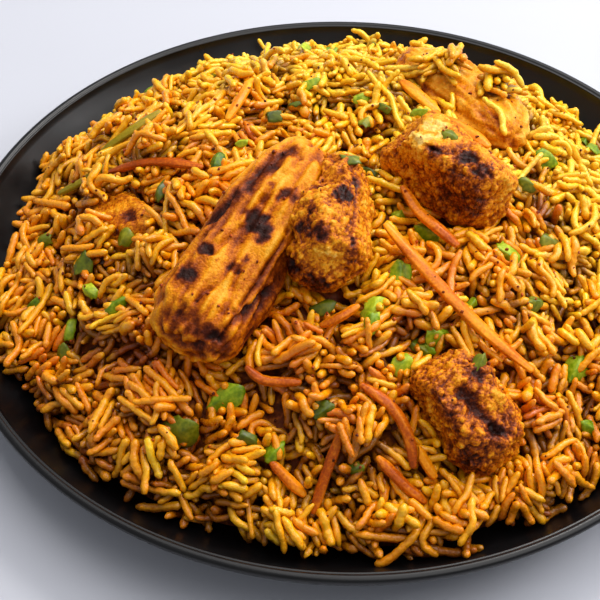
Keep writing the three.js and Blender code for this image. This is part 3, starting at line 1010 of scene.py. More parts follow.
def read_flat(grid, x, y):
    """Reads a flat grid at any spots, blending between its values."""
    u = np.clip((x + FLAT_HALF) / FLAT_STEP, 0, len(flat_axis) - 1.001)
    v = np.clip((y + FLAT_HALF) / FLAT_STEP, 0, len(flat_axis) - 1.001)
    i, j = u.astype(int), v.astype(int)
    u, v = u - i, v - j
    near = grid[i, j] * (1 - u) + grid[i + 1, j] * u
    far = grid[i, j + 1] * (1 - u) + grid[i + 1, j + 1] * u
    return near * (1 - v) + far * v


# %% [markdown]
# ## The core
#
# What shows of the core is only glimpsed between grains, lumpy and deep in shade, so it is
# coloured dark brown as painted shade. It could be a ball pushed into shape, but a round sheet
# of rings laid over the heights above and closed underneath follows them exactly.

# %% Core
CORE_RINGS = 64
CORE_SIDES = 180
CORE_GAP = 0.35 * MM


def core_mesh():
    """Rings of points over the core's heights, closed with a flat underside."""
    angles = np.linspace(0, 2 * np.pi, CORE_SIDES, endpoint=False)
    edge = heap_edge(angles) - CORE_INSET + 0.5 * MM
    shares = np.sqrt(np.linspace(0.0004, 1, CORE_RINGS))
    x = shares[:, None] * edge * np.cos(angles)
    y = shares[:, None] * edge * np.sin(angles)
    floor = plate_inside(np.hypot(x, y)) + CORE_GAP
    points = np.stack([x, y, read_flat(core_heights, x, y)], -1).reshape(-1, 3)
    points[:, 2] += 0.6 * MM * value_noise(points, 2.6 * MM, 33)
    points[:, 2] = np.maximum(points[:, 2], floor.ravel() + CORE_GAP)
    low = np.stack([x[-1], y[-1], floor[-1]], -1)
    middle = [[0, 0, points[:CORE_SIDES, 2].mean()], [0, 0, FLOOR_HEIGHT + CORE_GAP]]
    points = np.vstack([points, low, middle])
    ring, side = np.meshgrid(np.arange(CORE_RINGS), np.arange(CORE_SIDES), indexing="ij")
    here = (ring * CORE_SIDES + side).ravel()
    beside = (ring * CORE_SIDES + (side + 1) % CORE_SIDES).ravel()
    quads = np.stack([here, here + CORE_SIDES, beside + CORE_SIDES, beside], -1)
    around = np.arange(CORE_SIDES)
    after = (around + 1) % CORE_SIDES
    last = CORE_RINGS * CORE_SIDES
    top = np.stack([np.full(CORE_SIDES, len(points) - 2), around, after], -1)
    under = np.stack([np.full(CORE_SIDES, len(points) - 1), last + after, last + around], -1)
    return mesh_from_arrays("rice_core", points, [quads, np.vstack([top, under])])


# %% Core finish
# the core's dark browns are painted shade, for the deep rice that shows only in the gaps
core_finish = Finish("deep_rice_painted_shade", Specular_IOR_Level=0.15, Roughness=0.55)
core_shades = [
    (0.3, colour_of(54, 18, 1)),
    (0.55, colour_of(112, 48, 2)),
    (0.75, colour_of(190, 106, 6)),
]
core_material = core_finish.wear(
    colour=core_finish.ramp(core_finish.noise(2.6 * MM, 3), core_shades),
    normal=core_finish.bump(core_finish.noise(1.2 * MM, 2), 0.6, 0.6 * MM),
)
add_piece("rice_core", core_mesh(), core_material, ["rice_heap"])

# %% [markdown]
# ## Settling the grains
#
# A physics engine could drop thousands of rods, but it is slow and needs a very fine step.
# Position based dynamics is simpler: each grain is a chain of balls. Every round, all balls
# move a little inward, balls of different grains that overlap push each other apart, balls
# inside the chicken, core or plate are moved out, and at last each grain is turned and
# shifted as a whole to where its balls want to be, which keeps its shape. After a hundred
# rounds the grains lie on each other as real ones do, with gaps, bridges and ends that
# stick up.
#
# The rice is strewn in four lots. The first covers the core evenly. The second falls in
# bunches and clumps with hollows between, because moist rice leaves the spoon in clumps.
# The third lies round the rim, where grains have rolled down. The last is heaped where the
# picture shows a clump that stands proud of the mound or lies over the meat.

# %% The four lots
GRAIN_RADIUS = 1.06 * MM
LINK = 1.56 * MM
rng = np.random.default_rng(7)
# balls in a grain, then how many grains in the even lot, the clumped lot, round the rim and
# in the heaped clumps
LOTS = (
    (4, 690, 380, 60, 110),
    (5, 1190, 860, 170, 210),
    (6, 780, 760, 140, 190),
    (8, 310, 560, 70, 110),
    (11, 80, 300, 16, 45),
    (16, 0, 90, 0, 0),
)
LOT_DEPTHS = {"even": (-7.2, -2.2), "clumped": (-4.4, 2.4), "rim": (-5.0, 0.0), "heaped": (0.5, 5.0)}
BUNCH = 4  # clumped grains lie in bunches of about as many, nearly side by side
LONG_FROM = 8  # grains with as many balls or more are long ones

# pixels where a clump of rice stands proud of the mound or lies over a piece, and how wide
# it spreads in millimetres
HEAPED_CLUMPS = (
    ((278, 338), 5.5), ((305, 352), 3.5), ((462, 522), 5.5), ((500, 505), 4.5), ((190, 194), 5.5),
    ((152, 256), 4.0), ((92, 238), 4.0), ((355, 432), 4.5), ((150, 405), 5.0), ((300, 510), 5.0),
    ((440, 70), 4.0), ((400, 76), 4.5), ((500, 268), 5.5), ((330, 122), 5.0),
    ((205, 126), 5.0), ((250, 82), 5.0), ((365, 338), 4.0), ((415, 308), 4.0), ((240, 480), 4.5),
    ((530, 410), 4.5), ((110, 438), 4.5), ((345, 68), 5.0), ((150, 156), 4.5), ((496, 92), 3.5),
    ((104, 192), 3.0),
)

# %% Bent rods


def bent_rods(count, links):
    """Rods of a few balls, each with a bend and a waver of its own, around the origin."""
    length = (links - 1) * LINK * rng.uniform(0.84, 1.1, count)
    along = np.linspace(-0.5, 0.5, links)
    bend = np.radians(rng.normal(0, 6.5, count) * links**0.75)[:, None]
    waves = rng.uniform(0.6, 1.7, count)[:, None]
    heading = bend * along + 0.5 * bend * np.sin(2 * np.pi * along * waves)
    rise = np.radians(rng.normal(0, 3, count) * links)[:, None] * np.cos(np.pi * along * waves)
    step = np.stack([np.cos(heading), np.sin(heading), np.sin(rise)], -1)
    step = unit((step[:, 1:] + step[:, :-1]) / 2) * (length / (links - 1))[:, None, None]
    rods = np.concatenate([np.zeros((count, 1, 3)), np.cumsum(step, 1)], 1)
    return rods - rods.mean(1, keepdims=True)


# %% Where the grains fall
# steps that fill a square evenly, without the holes and crowds of pure chance
EVEN_STEPS = np.array([0.7548777, 0.5698403])
STREWN_AT_ONCE = 4000
SPREAD = HEAP_RADIUS + 2 * MM
STEEPEST = 1.75


def clumpiness(x, y):
    """From 0 in a hollow to 1 on a clump."""
    spots = np.stack([x, y, np.zeros_like(x)], -1)
    return smoothstep(-0.5, 0.5, layered_noise(spots, (1, 11, 21), (0.8, 6, 22)))


def scatter(count, lot):
    """Random spots over the mound: even over its slopes, in clumps, at its rim or heaped."""
    found = np.zeros((0, 2))
    first = rng.random(2)
    if lot == "heaped":
        which = rng.integers(0, len(HEAPED_CLUMPS), count)
        middles = np.array([seen_from_camera(pixel) for pixel, _ in HEAPED_CLUMPS])[which, :2]
        widths = np.array([width * MM for _, width in HEAPED_CLUMPS])[which, None]
        return (middles + 0.6 * widths * rng.normal(0, 1, (count, 2)).clip(-2, 2)).T
    while len(found) < count:
        steps = np.arange(STREWN_AT_ONCE)[:, None] * EVEN_STEPS
        tries = (2 * ((first + steps) % 1) - 1) * SPREAD
        first = rng.random(2)
        if lot == "clumped":
            tries = rng.uniform(-1, 1, (STREWN_AT_ONCE, 2)) * SPREAD
        x, y = tries.T
        share = np.hypot(x, y) / (heap_edge(np.arctan2(y, x)) - 0.5 * MM)
        # a steep slope needs more grains than the flat top for the same area seen from above
        steep = HEAP_POWER * (HEAP_PEAK - 12 * MM) / HEAP_RADIUS * share ** (HEAP_POWER - 1)
        want = np.hypot(1, steep) / STEEPEST
        if lot == "clumped":
            clumps = np.maximum(clumpiness(x, y), smoothstep(0.88, 0.96, share))
            want = want * (0.12 + 0.88 * clumps)
        if lot == "even":
            # few heaped clumps lie on the far slope, so it gets more of the even lot
            want = want * (0.7 + 0.3 * smoothstep(25 * MM, 70 * MM, y))
        if lot == "rim":
            want = smoothstep(0.88, 0.94, share)
        kept = (share < 1) & (rng.random(len(tries)) < want)
        found = np.concatenate([found, tries[kept]])
    return rng.permutation(found)[:count].T


# %% Heights and slopes under the grains


def seen_from_camera(pixel):
    """The spot where the line of sight through a pixel meets the dome or the chicken."""
    steps = np.arange(150 * MM, 600 * MM, 0.5 * MM)[:, None]
    spots = np.array(camera.location) + steps * np.array(sight_line(pixel))
    inside = spots[:, 2] < dome(spots[:, 0], spots[:, 1])
    inside |= look_up(chicken_distance, spots)[0] < 0
    return spots[np.argmax(inside)]


def top_of_all(x, y):
    """The height of the dome, or of the chicken where that stands out of it."""
    heights = dome(x, y)
    for number, spot in enumerate(np.stack([x, y], -1).tolist()):
        hit = chicken_tree.ray_cast(Vector((*spot, 0.12)), Vector((0, 0, -1)))[0]
        if hit and hit.z > heights[number]:
            heights[number] = hit.z
    return heights


def dome_normal(x, y):
    """The direction straight out of the mound."""
    small = 0.5 * MM
    slope_x = (dome(x + small, y) - dome(x - small, y)) / (2 * small)
    slope_y = (dome(x, y + small) - dome(x, y - small)) / (2 * small)
    return unit(np.stack([-slope_x, -slope_y, np.ones_like(x)], -1))


# %% First places
FLOW_SIZE = 17 * MM  # neighbours within about as far lie roughly alike
STRAY_HEADING = 32  # degrees by which a grain's heading strays from its neighbours'
ANY_HEADING = 0.25  # the share of grains that lie any way
BUNCH_SPREAD = 1.5 * MM
BUNCH_HEADING = 22
SHORT_TILT = 26
LONG_TILT = 11
STANDING_BUNCHES = 0.45
STANDING_GRAINS = 0.04


def first_places(rods, lot):
    """Strews rods through a loose shell around the mound."""
    count = len(rods)
    bunch = BUNCH if lot in ("clumped", "heaped") else 1
    x, y = np.repeat(scatter(-(-count // bunch), lot), bunch, 1)[:, :count]
    normal = dome_normal(x, y)
    low, high = LOT_DEPTHS[lot]
    surface = top_of_all(x, y) if lot == "heaped" else dome(x, y)
    centre = np.stack([x, y, surface], -1)
    height = np.repeat(rng.uniform(low, high, -(-count // bunch)), bunch)[:count]
    centre = centre + normal * (height * MM)[:, None]
    if bunch > 1:
        centre = centre + rng.normal(0, BUNCH_SPREAD, (count, 3))
    flow = 3.0 * value_noise(np.stack([x, y, 0 * x], -1), FLOW_SIZE, 11)
    heading = flow + np.radians(rng.normal(0, STRAY_HEADING, count))
    heading = np.where(rng.random(count) < ANY_HEADING, rng.uniform(0, np.pi, count), heading)
    if bunch > 1:
        shared = np.repeat(heading[::bunch] + rng.normal(0, 0.5, len(heading[::bunch])), bunch)
        heading = shared[:count] + np.radians(rng.normal(0, BUNCH_HEADING, count))
    side = unit(np.cross(normal, [0.0, 1.0, 0.0]))
    front = np.cross(normal, side)
    short = rods.shape[1] < LONG_FROM
    tilt = np.radians(rng.normal(0, SHORT_TILT if short else LONG_TILT, count))
    # some stand up, and in a bunch they all do
    proud = rng.random(count) < (STANDING_BUNCHES if short and bunch > 1 else STANDING_GRAINS)
    steep = np.arcsin(rng.uniform(-0.95, 0.95, count))
    if bunch > 1:
        proud = np.repeat(proud[::bunch], bunch)[:count]
        steep = np.repeat(steep[::bunch], bunch)[:count] + np.radians(rng.normal(0, 14, count))
    tilt = np.where(proud, steep, tilt)[:, None]
    along = side * np.cos(heading)[:, None] + front * np.sin(heading)[:, None]
    along = along * np.cos(tilt) + normal * np.sin(tilt)
    across = unit(np.cross(normal, along))
    roll = rng.uniform(0, 2 * np.pi, count)[:, None]
    over = across * np.cos(roll) + np.cross(along, across) * np.sin(roll)
    turned = np.stack([along, over, np.cross(along, over)], 1)
    return centre[:, None] + np.einsum("nki,nij->nkj", rods, turned)


# %% Finding touching balls


def near_pairs(places, owner, reach):
    """All pairs of balls nearer than reach that belong to different grains."""
    cell = np.floor(places / reach).astype(np.int64)
    cell -= cell.min(0) - 1
    size = cell.max(0) + 2
    key = (cell[:, 0] * size[1] + cell[:, 1]) * size[2] + cell[:, 2]
    order = np.argsort(key, kind="stable")
    in_order = key[order]
    found = []
    for dx, dy in ((0, 0), (0, 1), (1, -1), (1, 0), (1, 1)):
        column = key + (dx * size[1] + dy) * size[2]
        start = np.searchsorted(in_order, column - 1, "left")
        count = np.searchsorted(in_order, column + 1, "right") - start
        first = np.repeat(np.arange(len(key)), count)
        step = np.arange(len(first)) - np.repeat(np.cumsum(count) - count, count)
        second = order[np.repeat(start, count) + step]
        wanted = owner[first] != owner[second]
        if dx == dy == 0:
            wanted &= first < second
        first, second = first[wanted], second[wanted]
        close = ((places[first] - places[second]) ** 2).sum(1) < reach * reach
        found.append(np.stack([first[close], second[close]]))
    return np.concatenate(found, 1)


def add_up(index, moves, count):
    """Sums the moves that belong to each ball."""
    return np.stack([np.bincount(index, moves[:, i], count) for i in range(3)], -1)


def best_fit(rods, places):
    """Turns and shifts each rod's own shape as near as it can to its balls."""
    middle = places.mean(1, keepdims=True)
    left, _, right = np.linalg.svd(np.einsum("nki,nkj->nij", rods, places - middle))
    left[:, :, 2] *= np.sign(np.linalg.det(left @ right))[:, None]
    return middle + np.einsum("nki,nij->nkj", rods, left @ right)


# %% Strew the grains
rods, first_spots, radii = [], [], []
for links, *counts in LOTS:
    for count, lot in zip(counts, LOT_DEPTHS):
        if count == 0:
            continue
        shapes = bent_rods(count, links)
        spots = first_places(shapes, lot)
        distance, _ = look_up(chicken_distance, spots.reshape(-1, 3))
        free = distance.reshape(count, links).min(1) > 0
        rods.append(shapes[free])
        first_spots.append(spots[free])
        radii.append(rng.normal(1, 0.13, free.sum()).clip(0.72, 1.35) * GRAIN_RADIUS)
sizes = [shapes.shape[0] * shapes.shape[1] for shapes in rods]
grain_count = sum(len(shapes) for shapes in rods)
owner = np.repeat(np.arange(grain_count), np.concatenate([[s.shape[1]] * len(s) for s in rods]))
ball_radius = np.concatenate([np.repeat(r, s.shape[1]) for r, s in zip(radii, rods)])
print("grains:", grain_count, "balls:", sum(sizes))

# %% Rules for settling
ROUNDS = 110
LAST_ROUNDS = 5  # the grains aren't held to their first places in the last rounds
SEARCH_EVERY = 5  # touching balls are looked for anew after as many rounds
PULL = 0.30 * MM
PAIR_MARGIN = 0.9 * MM
STRIP_SKIN = 0.35 * MM
STICKY = 0.12
STIFF = 0.09
SHAPE_KEPT = 0.8
PUSH = 0.42  # how much of an overlap each of two grains gives way in a round
PUSH_OFF_STRIP = 0.9
LONGEST_PUSH = 0.8 * MM
LONGEST_LIFT = 3 * MM


def push_out(places, floor_height, slope_x, slope_y, skin):
    """Lifts balls out of a floor that is given by its height and slopes under them."""
    up = unit(np.stack([-slope_x, -slope_y, np.ones(len(places))], -1))
    depth = (floor_height - places[:, 2]) * up[:, 2] + skin
    return places + up * np.clip(depth, 0, LONGEST_LIFT)[:, None]


def stick(chain, spots):
    """Keeps grains near the spot and the tilt they fell with, as sticky rice does."""
    middle = chain.mean(1, keepdims=True)
    first = spots.mean(1, keepdims=True)
    out = dome_normal(*first[:, 0, :2].T)[:, None]
    drift = first - middle
    drift = drift - out * (drift * out).sum(-1, keepdims=True)
    return chain + STICKY * drift + STIFF * (spots - first - chain + middle)


# %% Settle them


def settle(places, fixed):
    """Pulls all balls inward and pushes them apart until the grains rest on each other."""
    moving = len(places)
    radius = np.concatenate([ball_radius, np.full(len(fixed), STRIP_SKIN)])
    belongs = np.concatenate([owner, np.full(len(fixed), -1)])
    for turn in range(ROUNDS):
        fade = max(0.0, 1 - turn / (0.9 * ROUNDS))
        inward = -dome_normal(places[:, 0], places[:, 1]) - np.array([0, 0, 0.6])
        places = places + unit(inward) * PULL * fade**1.2
        everything = np.concatenate([places, fixed])
        if turn % SEARCH_EVERY == 0:
            reach = 2 * GRAIN_RADIUS + PAIR_MARGIN
            first, second = near_pairs(everything, belongs, reach)
            some_moving = np.minimum(first, second) < moving
            first, second = first[some_moving], second[some_moving]
            on_strip = np.maximum(first, second) >= moving
            share = np.where(on_strip, PUSH_OFF_STRIP, PUSH)[:, None]
        gap = everything[first] - everything[second]
        distance = np.maximum(np.linalg.norm(gap, axis=1), 1e-9)
        overlap = np.clip(radius[first] + radius[second] - distance, 0, None)
        push = gap * (overlap / distance)[:, None] * share
        count = len(everything)
        move = (add_up(first, push, count) - add_up(second, push, count))[:moving]
        length = np.linalg.norm(move, axis=1, keepdims=True)
        places = places + move * np.minimum(1, LONGEST_PUSH / np.maximum(length, 1e-9))
        distance, away = look_up(chicken_distance, places)
        places += away * np.clip(ball_radius - distance, 0, LONGEST_LIFT)[:, None]
        x, y, _ = places.T
        slopes = [read_flat(slope, x, y) for slope in core_slopes]
        places = push_out(places, read_flat(core_heights, x, y), *slopes, 0.8 * ball_radius)
        x, y, _ = places.T
        out = np.hypot(x, y)
        rise = (plate_inside(out + 0.1 * MM) - plate_inside(out)) / (0.1 * MM)
        places = push_out(places, plate_inside(out), rise * x / out, rise * y / out, ball_radius)
        start = 0
        for shapes, size, spots in zip(rods, sizes, first_spots):
            part = places[start : start + size].reshape(shapes.shape)
            fitted = (1 - SHAPE_KEPT) * part + SHAPE_KEPT * best_fit(shapes, part)
            if turn < ROUNDS - LAST_ROUNDS:
                fitted = stick(fitted, spots)
            places[start : start + size] = fitted.reshape(-1, 3)
            start += size
    touching = overlap[overlap > 0]
    print(f"mean overlap of touching balls: {touching.mean() / MM:.2f} mm")
    return places


strip_points = np.concatenate([points_of(mesh)[::3] for mesh in strips.values()])
settled = settle(np.concatenate([spots.reshape(-1, 3) for spots in first_spots]), strip_points)

# %% [markdown]
# ## Uncovering the strips
#
# Carrot and pepper strips lie on the rice in the picture, but some grains have come to rest
# on top of them. Lifting the strips would leave them hanging, so most of those grains are
# taken off instead: all that come near the strip's points raised straight out of the mound.

# %% Uncover the strips
TAKEN_OFF = 0.85
RAISED = 2.2 * MM
NEAR_RAISED = 1.8 * MM
over_strips = strip_points + dome_normal(*strip_points[:, :2].T) * RAISED
both = np.concatenate([settled, over_strips])
belongs = np.concatenate([owner, np.full(len(over_strips), -1)])
pairs = near_pairs(both, belongs, NEAR_RAISED)
on_strips = np.unique(owner[pairs.min(0)[pairs.max(0) >= len(settled)]])
staying = np.ones(grain_count, bool)
staying[on_strips[rng.random(len(on_strips)) < TAKEN_OFF]] = False
print("grains taken off the strips:", grain_count - staying.sum())
chains, start, grain = [], 0, 0
for number, (shapes, size) in enumerate(zip(rods, sizes)):
    stays = staying[grain : grain + len(shapes)]
    chains.append(settled[start : start + size].reshape(shapes.shape)[stays])
    radii[number] = radii[number][stays]
    start += size
    grain += len(shapes)

# %% [markdown]
# ## From chains to grains
#
# A smooth curve is laid through the balls of each chain, and a tube is swept along it. Real
# vermicelli isn't an even rod: it swells and thins, and its ends are blunt, some plump and
# some pinched. So the width wavers along each grain. All grains with as many balls are
# made at once, as one big array.

# %% Tubes
SIDES = 6
RINGS_PER_LINK = 1.5
CAP = np.radians(58)
LINE_WAVER = 0.07  # how far the middle line strays, as a share of a grain's radius
SWELLING = 0.09  # how much the width swells and thins along a grain
UNEVENNESS = 0.05
END_WIDTHS = (0.68, 1.08)


def tubes(chain, radius):
    """Round-ended tubes along chains: their points, and the faces and map of one tube."""
    count, links, _ = chain.shape
    before = 2 * chain[:, :1] - chain[:, 1:2]
    beyond = 2 * chain[:, -1:] - chain[:, -2:-1]
    wide = np.concatenate([before, chain, beyond], 1)
    at = np.linspace(0, links - 1, int(round((links - 1) * RINGS_PER_LINK)) + 1)
    cell = np.minimum(at.astype(int), links - 2)
    t = (at - cell)[None, :, None]
    a, b, c, d = (wide[:, cell + i] for i in range(4))
    line = b + 0.5 * t * (c - a + t * (2 * a - 5 * b + 4 * c - d + t * (3 * (b - c) + d - a)))
    line = line + rng.normal(0, LINE_WAVER, line.shape) * GRAIN_RADIUS
    ahead = unit(np.gradient(line, axis=1))
    reach = radius[:, None]
    start = line[:, 0] - ahead[:, 0] * reach * np.sin(CAP)
    end = line[:, -1] + ahead[:, -1] * reach * np.sin(CAP)
    poles = np.stack([line[:, 0] - ahead[:, 0] * reach, line[:, -1] + ahead[:, -1] * reach], 1)
    line = np.concatenate([start[:, None], line, end[:, None]], 1)
    ahead = np.concatenate([ahead[:, :1], ahead, ahead[:, -1:]], 1)
    steps = line.shape[1]
    side = np.empty_like(line)
    side[:, 0] = unit(np.cross(ahead[:, 0], rng.normal(0, 1, (count, 3))))
    for i in range(1, steps):
        lean = (side[:, i - 1] * ahead[:, i]).sum(1, keepdims=True)
        side[:, i] = unit(side[:, i - 1] - ahead[:, i] * lean)
    other = np.cross(ahead, side)
    angle = np.linspace(0, 2 * np.pi, SIDES, endpoint=False)[:, None]
    ring = side[:, :, None] * np.cos(angle) + other[:, :, None] * np.sin(angle)
    along = np.linspace(0, 1, steps)
    taper = rng.uniform(*END_WIDTHS, (2, count, 1))
    width = 1 - (1 - taper[0]) * (1 - along) ** 3 - (1 - taper[1]) * along**3
    swell = rng.uniform(1.3, 2.9, (count, 1)) * np.arange(steps) + rng.uniform(0, 6.3, (count, 1))
    uneven = rng.normal(0, UNEVENNESS, (count, steps))
    width = width * (1 + SWELLING * np.sin(swell) + uneven)
    width[:, [0, -1]] *= np.cos(CAP)
    points = line[:, :, None] + ring * (reach * width)[:, :, None, None]
    points = np.concatenate([points.reshape(count, -1, 3), poles], 1)
    cells = np.meshgrid(np.arange(steps - 1), np.arange(SIDES), indexing="ij")
    i, j = [grid.ravel() for grid in cells]
    corners = [(0, 0), (0, 1), (1, 1), (1, 0)]
    quads = np.stack([(i + a) * SIDES + (j + b) % SIDES for a, b in corners], -1)
    quad_map = np.stack([np.stack([i + a + 0.5, j + b], -1) for a, b in corners], 1)
    around = np.arange(SIDES)
    after = (around + 1) % SIDES
    far = (steps - 1) * SIDES
    near_end = np.stack([np.full(SIDES, steps * SIDES), after, around], -1)
    far_end = np.stack([np.full(SIDES, steps * SIDES + 1), far + around, far + after], -1)
    half = np.full(SIDES, 0.5)
    near_map = [[0 * half, around + half], [half, around + 1], [half, around]]
    far_map = [[steps + 0 * half, around + half], [steps - half, around], [steps - half, around + 1]]
    end_map = np.concatenate([np.moveaxis(np.array(m), 2, 0) for m in (near_map, far_map)])
    spread = np.array([steps, SIDES])
    return points, quads, np.concatenate([near_end, far_end]), quad_map / spread, end_map / spread


# %% [markdown]
# ## The grains: finish
#
# The rice is stained with turmeric and chilli oil. Each grain has its own tone, and whole
# neighbourhoods are yellower or redder. Over that lies painted light and shade: the rice
# towards the back right, where the lamps stand, is painted yellower and lighter, while a grain
# that lies deep and the underside of every grain are painted darker and redder as painted
# shade. One colour per grain would look like plastic, so all of these are painted on the
# points and blended. Oil gives small sharp highlights, and a fine bump breaks them up.

# %% Grain finish
RICE_SHADES = [
    (0.0, colour_of(230, 112, 1)),
    (0.35, colour_of(250, 162, 5)),
    (0.7, colour_of(255, 200, 22)),
    (1.0, colour_of(255, 226, 84)),
]
# what colours the rice: the painted value's name, how strong it gets, and its colour;
# sauce is a stain, while under and depth are painted shade
RICE_STAINS_AND_SHADE = [
    ("sauce", 0.65, colour_of(206, 76, 4)),
    ("under", 0.55, colour_of(186, 74, 1)),
    ("depth", 0.75, colour_of(104, 32, 1)),
]


def rice_material(name, shift):
    """One kind of rice, with its tone shifted a little from the other kinds'."""
    finish = Finish(name, Specular_IOR_Level=0.5)
    speckle = finish.noise(0.9 * MM, 2)
    tone = finish.plus(finish.painted("tone"), finish.vary(speckle, shift - 0.1, shift + 0.1))
    colour = finish.ramp(tone, RICE_SHADES)
    # sauce is a stain on the rice; under and depth are painted shade
    for painted, strength, stain_and_shade in RICE_STAINS_AND_SHADE:
        share = finish.spread(finish.painted(painted), 0, 1, 0, strength)
        colour = finish.blend(share, colour, stain_and_shade)
    return finish.wear(
        colour=colour,
        roughness=finish.vary(speckle, 0.2, 0.38),
        normal=finish.bump(speckle, 0.65, 0.38 * MM),
    )


# %% [markdown]
# How deep a grain lies can be found by asking what is above it. A coarse grid keeps the
# highest ball in each of its cells, smoothed over the cells around, and the depth is how
# far a point lies below that.

# %% How deep each grain lies
TOP_STEP = 2 * MM
top_size = int(2 * FLAT_HALF / TOP_STEP) + 1


def top_cells(points):
    """The cell of the coarse grid that each point is in."""
    cells = ((points[:, :2] + FLAT_HALF) / TOP_STEP).round().astype(int)
    cells = cells.clip(0, top_size - 1)
    return cells[:, 0], cells[:, 1]


every_ball = np.concatenate([chain.reshape(-1, 3) for chain in chains])
tops = np.full((top_size, top_size), 0.0)
np.maximum.at(tops, top_cells(every_ball), every_ball[:, 2])
around_tops = surroundings(surroundings(tops).max(0)).mean(0)


def depth_below(points):
    """How far points lie under the grains around them."""
    return around_tops[top_cells(points)] - points[:, 2]


# %% Paint the grains
SAUCY_PATCH = np.array([-58, -44]) * MM
SAUCY_REACH = 30 * MM
SHALLOW = 1.2 * MM
DEEP = 6.4 * MM


def paint_rice(mesh, points, tone):
    """Paints the four values that the rice finish reads."""
    region = layered_noise(points, (0.13, 22, 61), (0.065, 9, 62))
    # painted light: the rice is painted yellower and lighter towards the back and the right,
    # where the lamps stand
    backward = smoothstep(-50 * MM, 60 * MM, points[:, 1] + 0.55 * points[:, 0]) - 0.5
    paint(mesh, "tone", np.clip(tone + region + 0.3 * backward, 0, 1))
    # painted shade: the faces of each grain that turn downward, away from the lamps, are painted darker
    paint(mesh, "under", smoothstep(-0.5, 0.75, -normals_of(mesh)[:, 2]))
    # painted shade: points that lie deep under the grains around them are painted darker and redder
    paint(mesh, "depth", smoothstep(SHALLOW, DEEP, depth_below(points)))
    patch = np.exp(-(((points[:, :2] - SAUCY_PATCH) / SAUCY_REACH) ** 2).sum(1))
    sauce = layered_noise(points, (1, 14, 51), (0.8, 5, 52))
    paint(mesh, "sauce", smoothstep(0.4, 1.4, sauce + 0.8 * patch))


# %% [markdown]
# ## The grains: meshes
#
# The short grains are shared out at random over three kinds of slightly different colour, and
# the long ones and the noodle strands are kinds of their own. Each kind is one mesh. A mesh
# that leaves Blender needs a flat map for its colours, so each grain gets a small square of
# its own on a map, with a margin around it.

# %% Kinds of grain
# each kind's share of the short grains, and how much yellower its grains are
KINDS = {
    "rice_golden": (0.34, 0.0),
    "rice_amber": (0.33, -0.07),
    "rice_pale": (0.33, 0.08),
    "rice_long": (0, 0.02),
    "noodle_strands": (0, 0.05),
}


def kind_of(links, count):
    """Which kind each grain with so many balls is."""
    if links > LONG_FROM:
        return np.full(count, list(KINDS).index("noodle_strands"))
    if links == LONG_FROM:
        return np.full(count, list(KINDS).index("rice_long"))
    shares = [share for share, _ in KINDS.values()]
    return rng.choice(len(KINDS), count, p=shares)


# %% One mesh for each kind
ATLAS_MARGIN = 0.08


def in_atlas(corner, place, per_row):
    """Shrinks a grain's own map into its square of the whole map."""
    shrunk = ATLAS_MARGIN + (1 - 2 * ATLAS_MARGIN) * place
    return ((corner + shrunk) / per_row).reshape(-1, 2)


def grains_mesh(kind, batches):
    """All grains of a kind as one mesh, mapped and painted."""
    total = sum(len(chain) for chain, _ in batches)
    per_row = int(np.ceil(np.sqrt(total)))
    points, quads, ends, quad_maps, end_maps, tones = [], [], [], [], [], []
    offset, number = 0, 0
    for chain, radius in batches:
        spots, quad, end, quad_map, end_map = tubes(chain, radius)
        each = spots.shape[1]
        count = len(chain)
        starts = (offset + each * np.arange(count))[:, None, None]
        points.append(spots.reshape(-1, 3))
        quads.append((quad + starts).reshape(-1, 4))
        ends.append((end + starts).reshape(-1, 3))
        places = np.arange(number, number + count)
        corner = np.stack([places % per_row, places // per_row], -1)[:, None, None, :]
        quad_maps.append(in_atlas(corner, quad_map, per_row))
        end_maps.append(in_atlas(corner, end_map, per_row))
        tones.append(np.repeat(rng.normal(0.5, 0.08, count), each))
        offset += each * count
        number += count
    points = np.concatenate(points)
    mesh = mesh_from_arrays(kind, points, [np.concatenate(quads), np.concatenate(ends)])
    layout = mesh.uv_layers.new(name="OFBake")
    layout.data.foreach_set("uv", np.concatenate(quad_maps + end_maps).ravel())
    paint_rice(mesh, points, np.concatenate(tones))
    triangles = 2 * sum(map(len, quads)) + sum(map(len, ends))
    print(f"{kind}: {total} grains, {triangles} triangles")
    return mesh


# %% Make the grains
BURIED = 3.4 * MM  # a grain whose every ball lies deeper than this is never seen
batches = {kind: [] for kind in KINDS}
dropped = 0
for chain, radius in zip(chains, radii):
    links = chain.shape[1]
    below = tops[top_cells(chain.reshape(-1, 3))] - chain.reshape(-1, 3)[:, 2]
    seen = below.reshape(len(chain), links).min(1) < BURIED
    dropped += (~seen).sum()
    kinds = kind_of(links, len(chain))
    for number, kind in enumerate(KINDS):
        mine = seen & (kinds == number)
        if mine.any():
            batches[kind].append((chain[mine], radius[mine]))
print("buried grains left out:", dropped)
for kind, (_, shift) in KINDS.items():
    add_piece(kind, grains_mesh(kind, batches[kind]), rice_material(kind, shift))

# %% [markdown]
# ## Herbs
#
# Torn coriander and parsley lie on the rice: small flakes with a few corners, thin and
# curled, folded along their rib, bright green where fresh and dark where they have wilted. A
# flat picture of a leaf would show no edge, so a flake is a rounded polygon of rings, bent
# and closed to a real thickness. Lines of sight through a pixel of the picture and around it
# find the grains there, and the flake rests on the higher of them. More are strewn from above
# on the parts that the picture doesn't show.

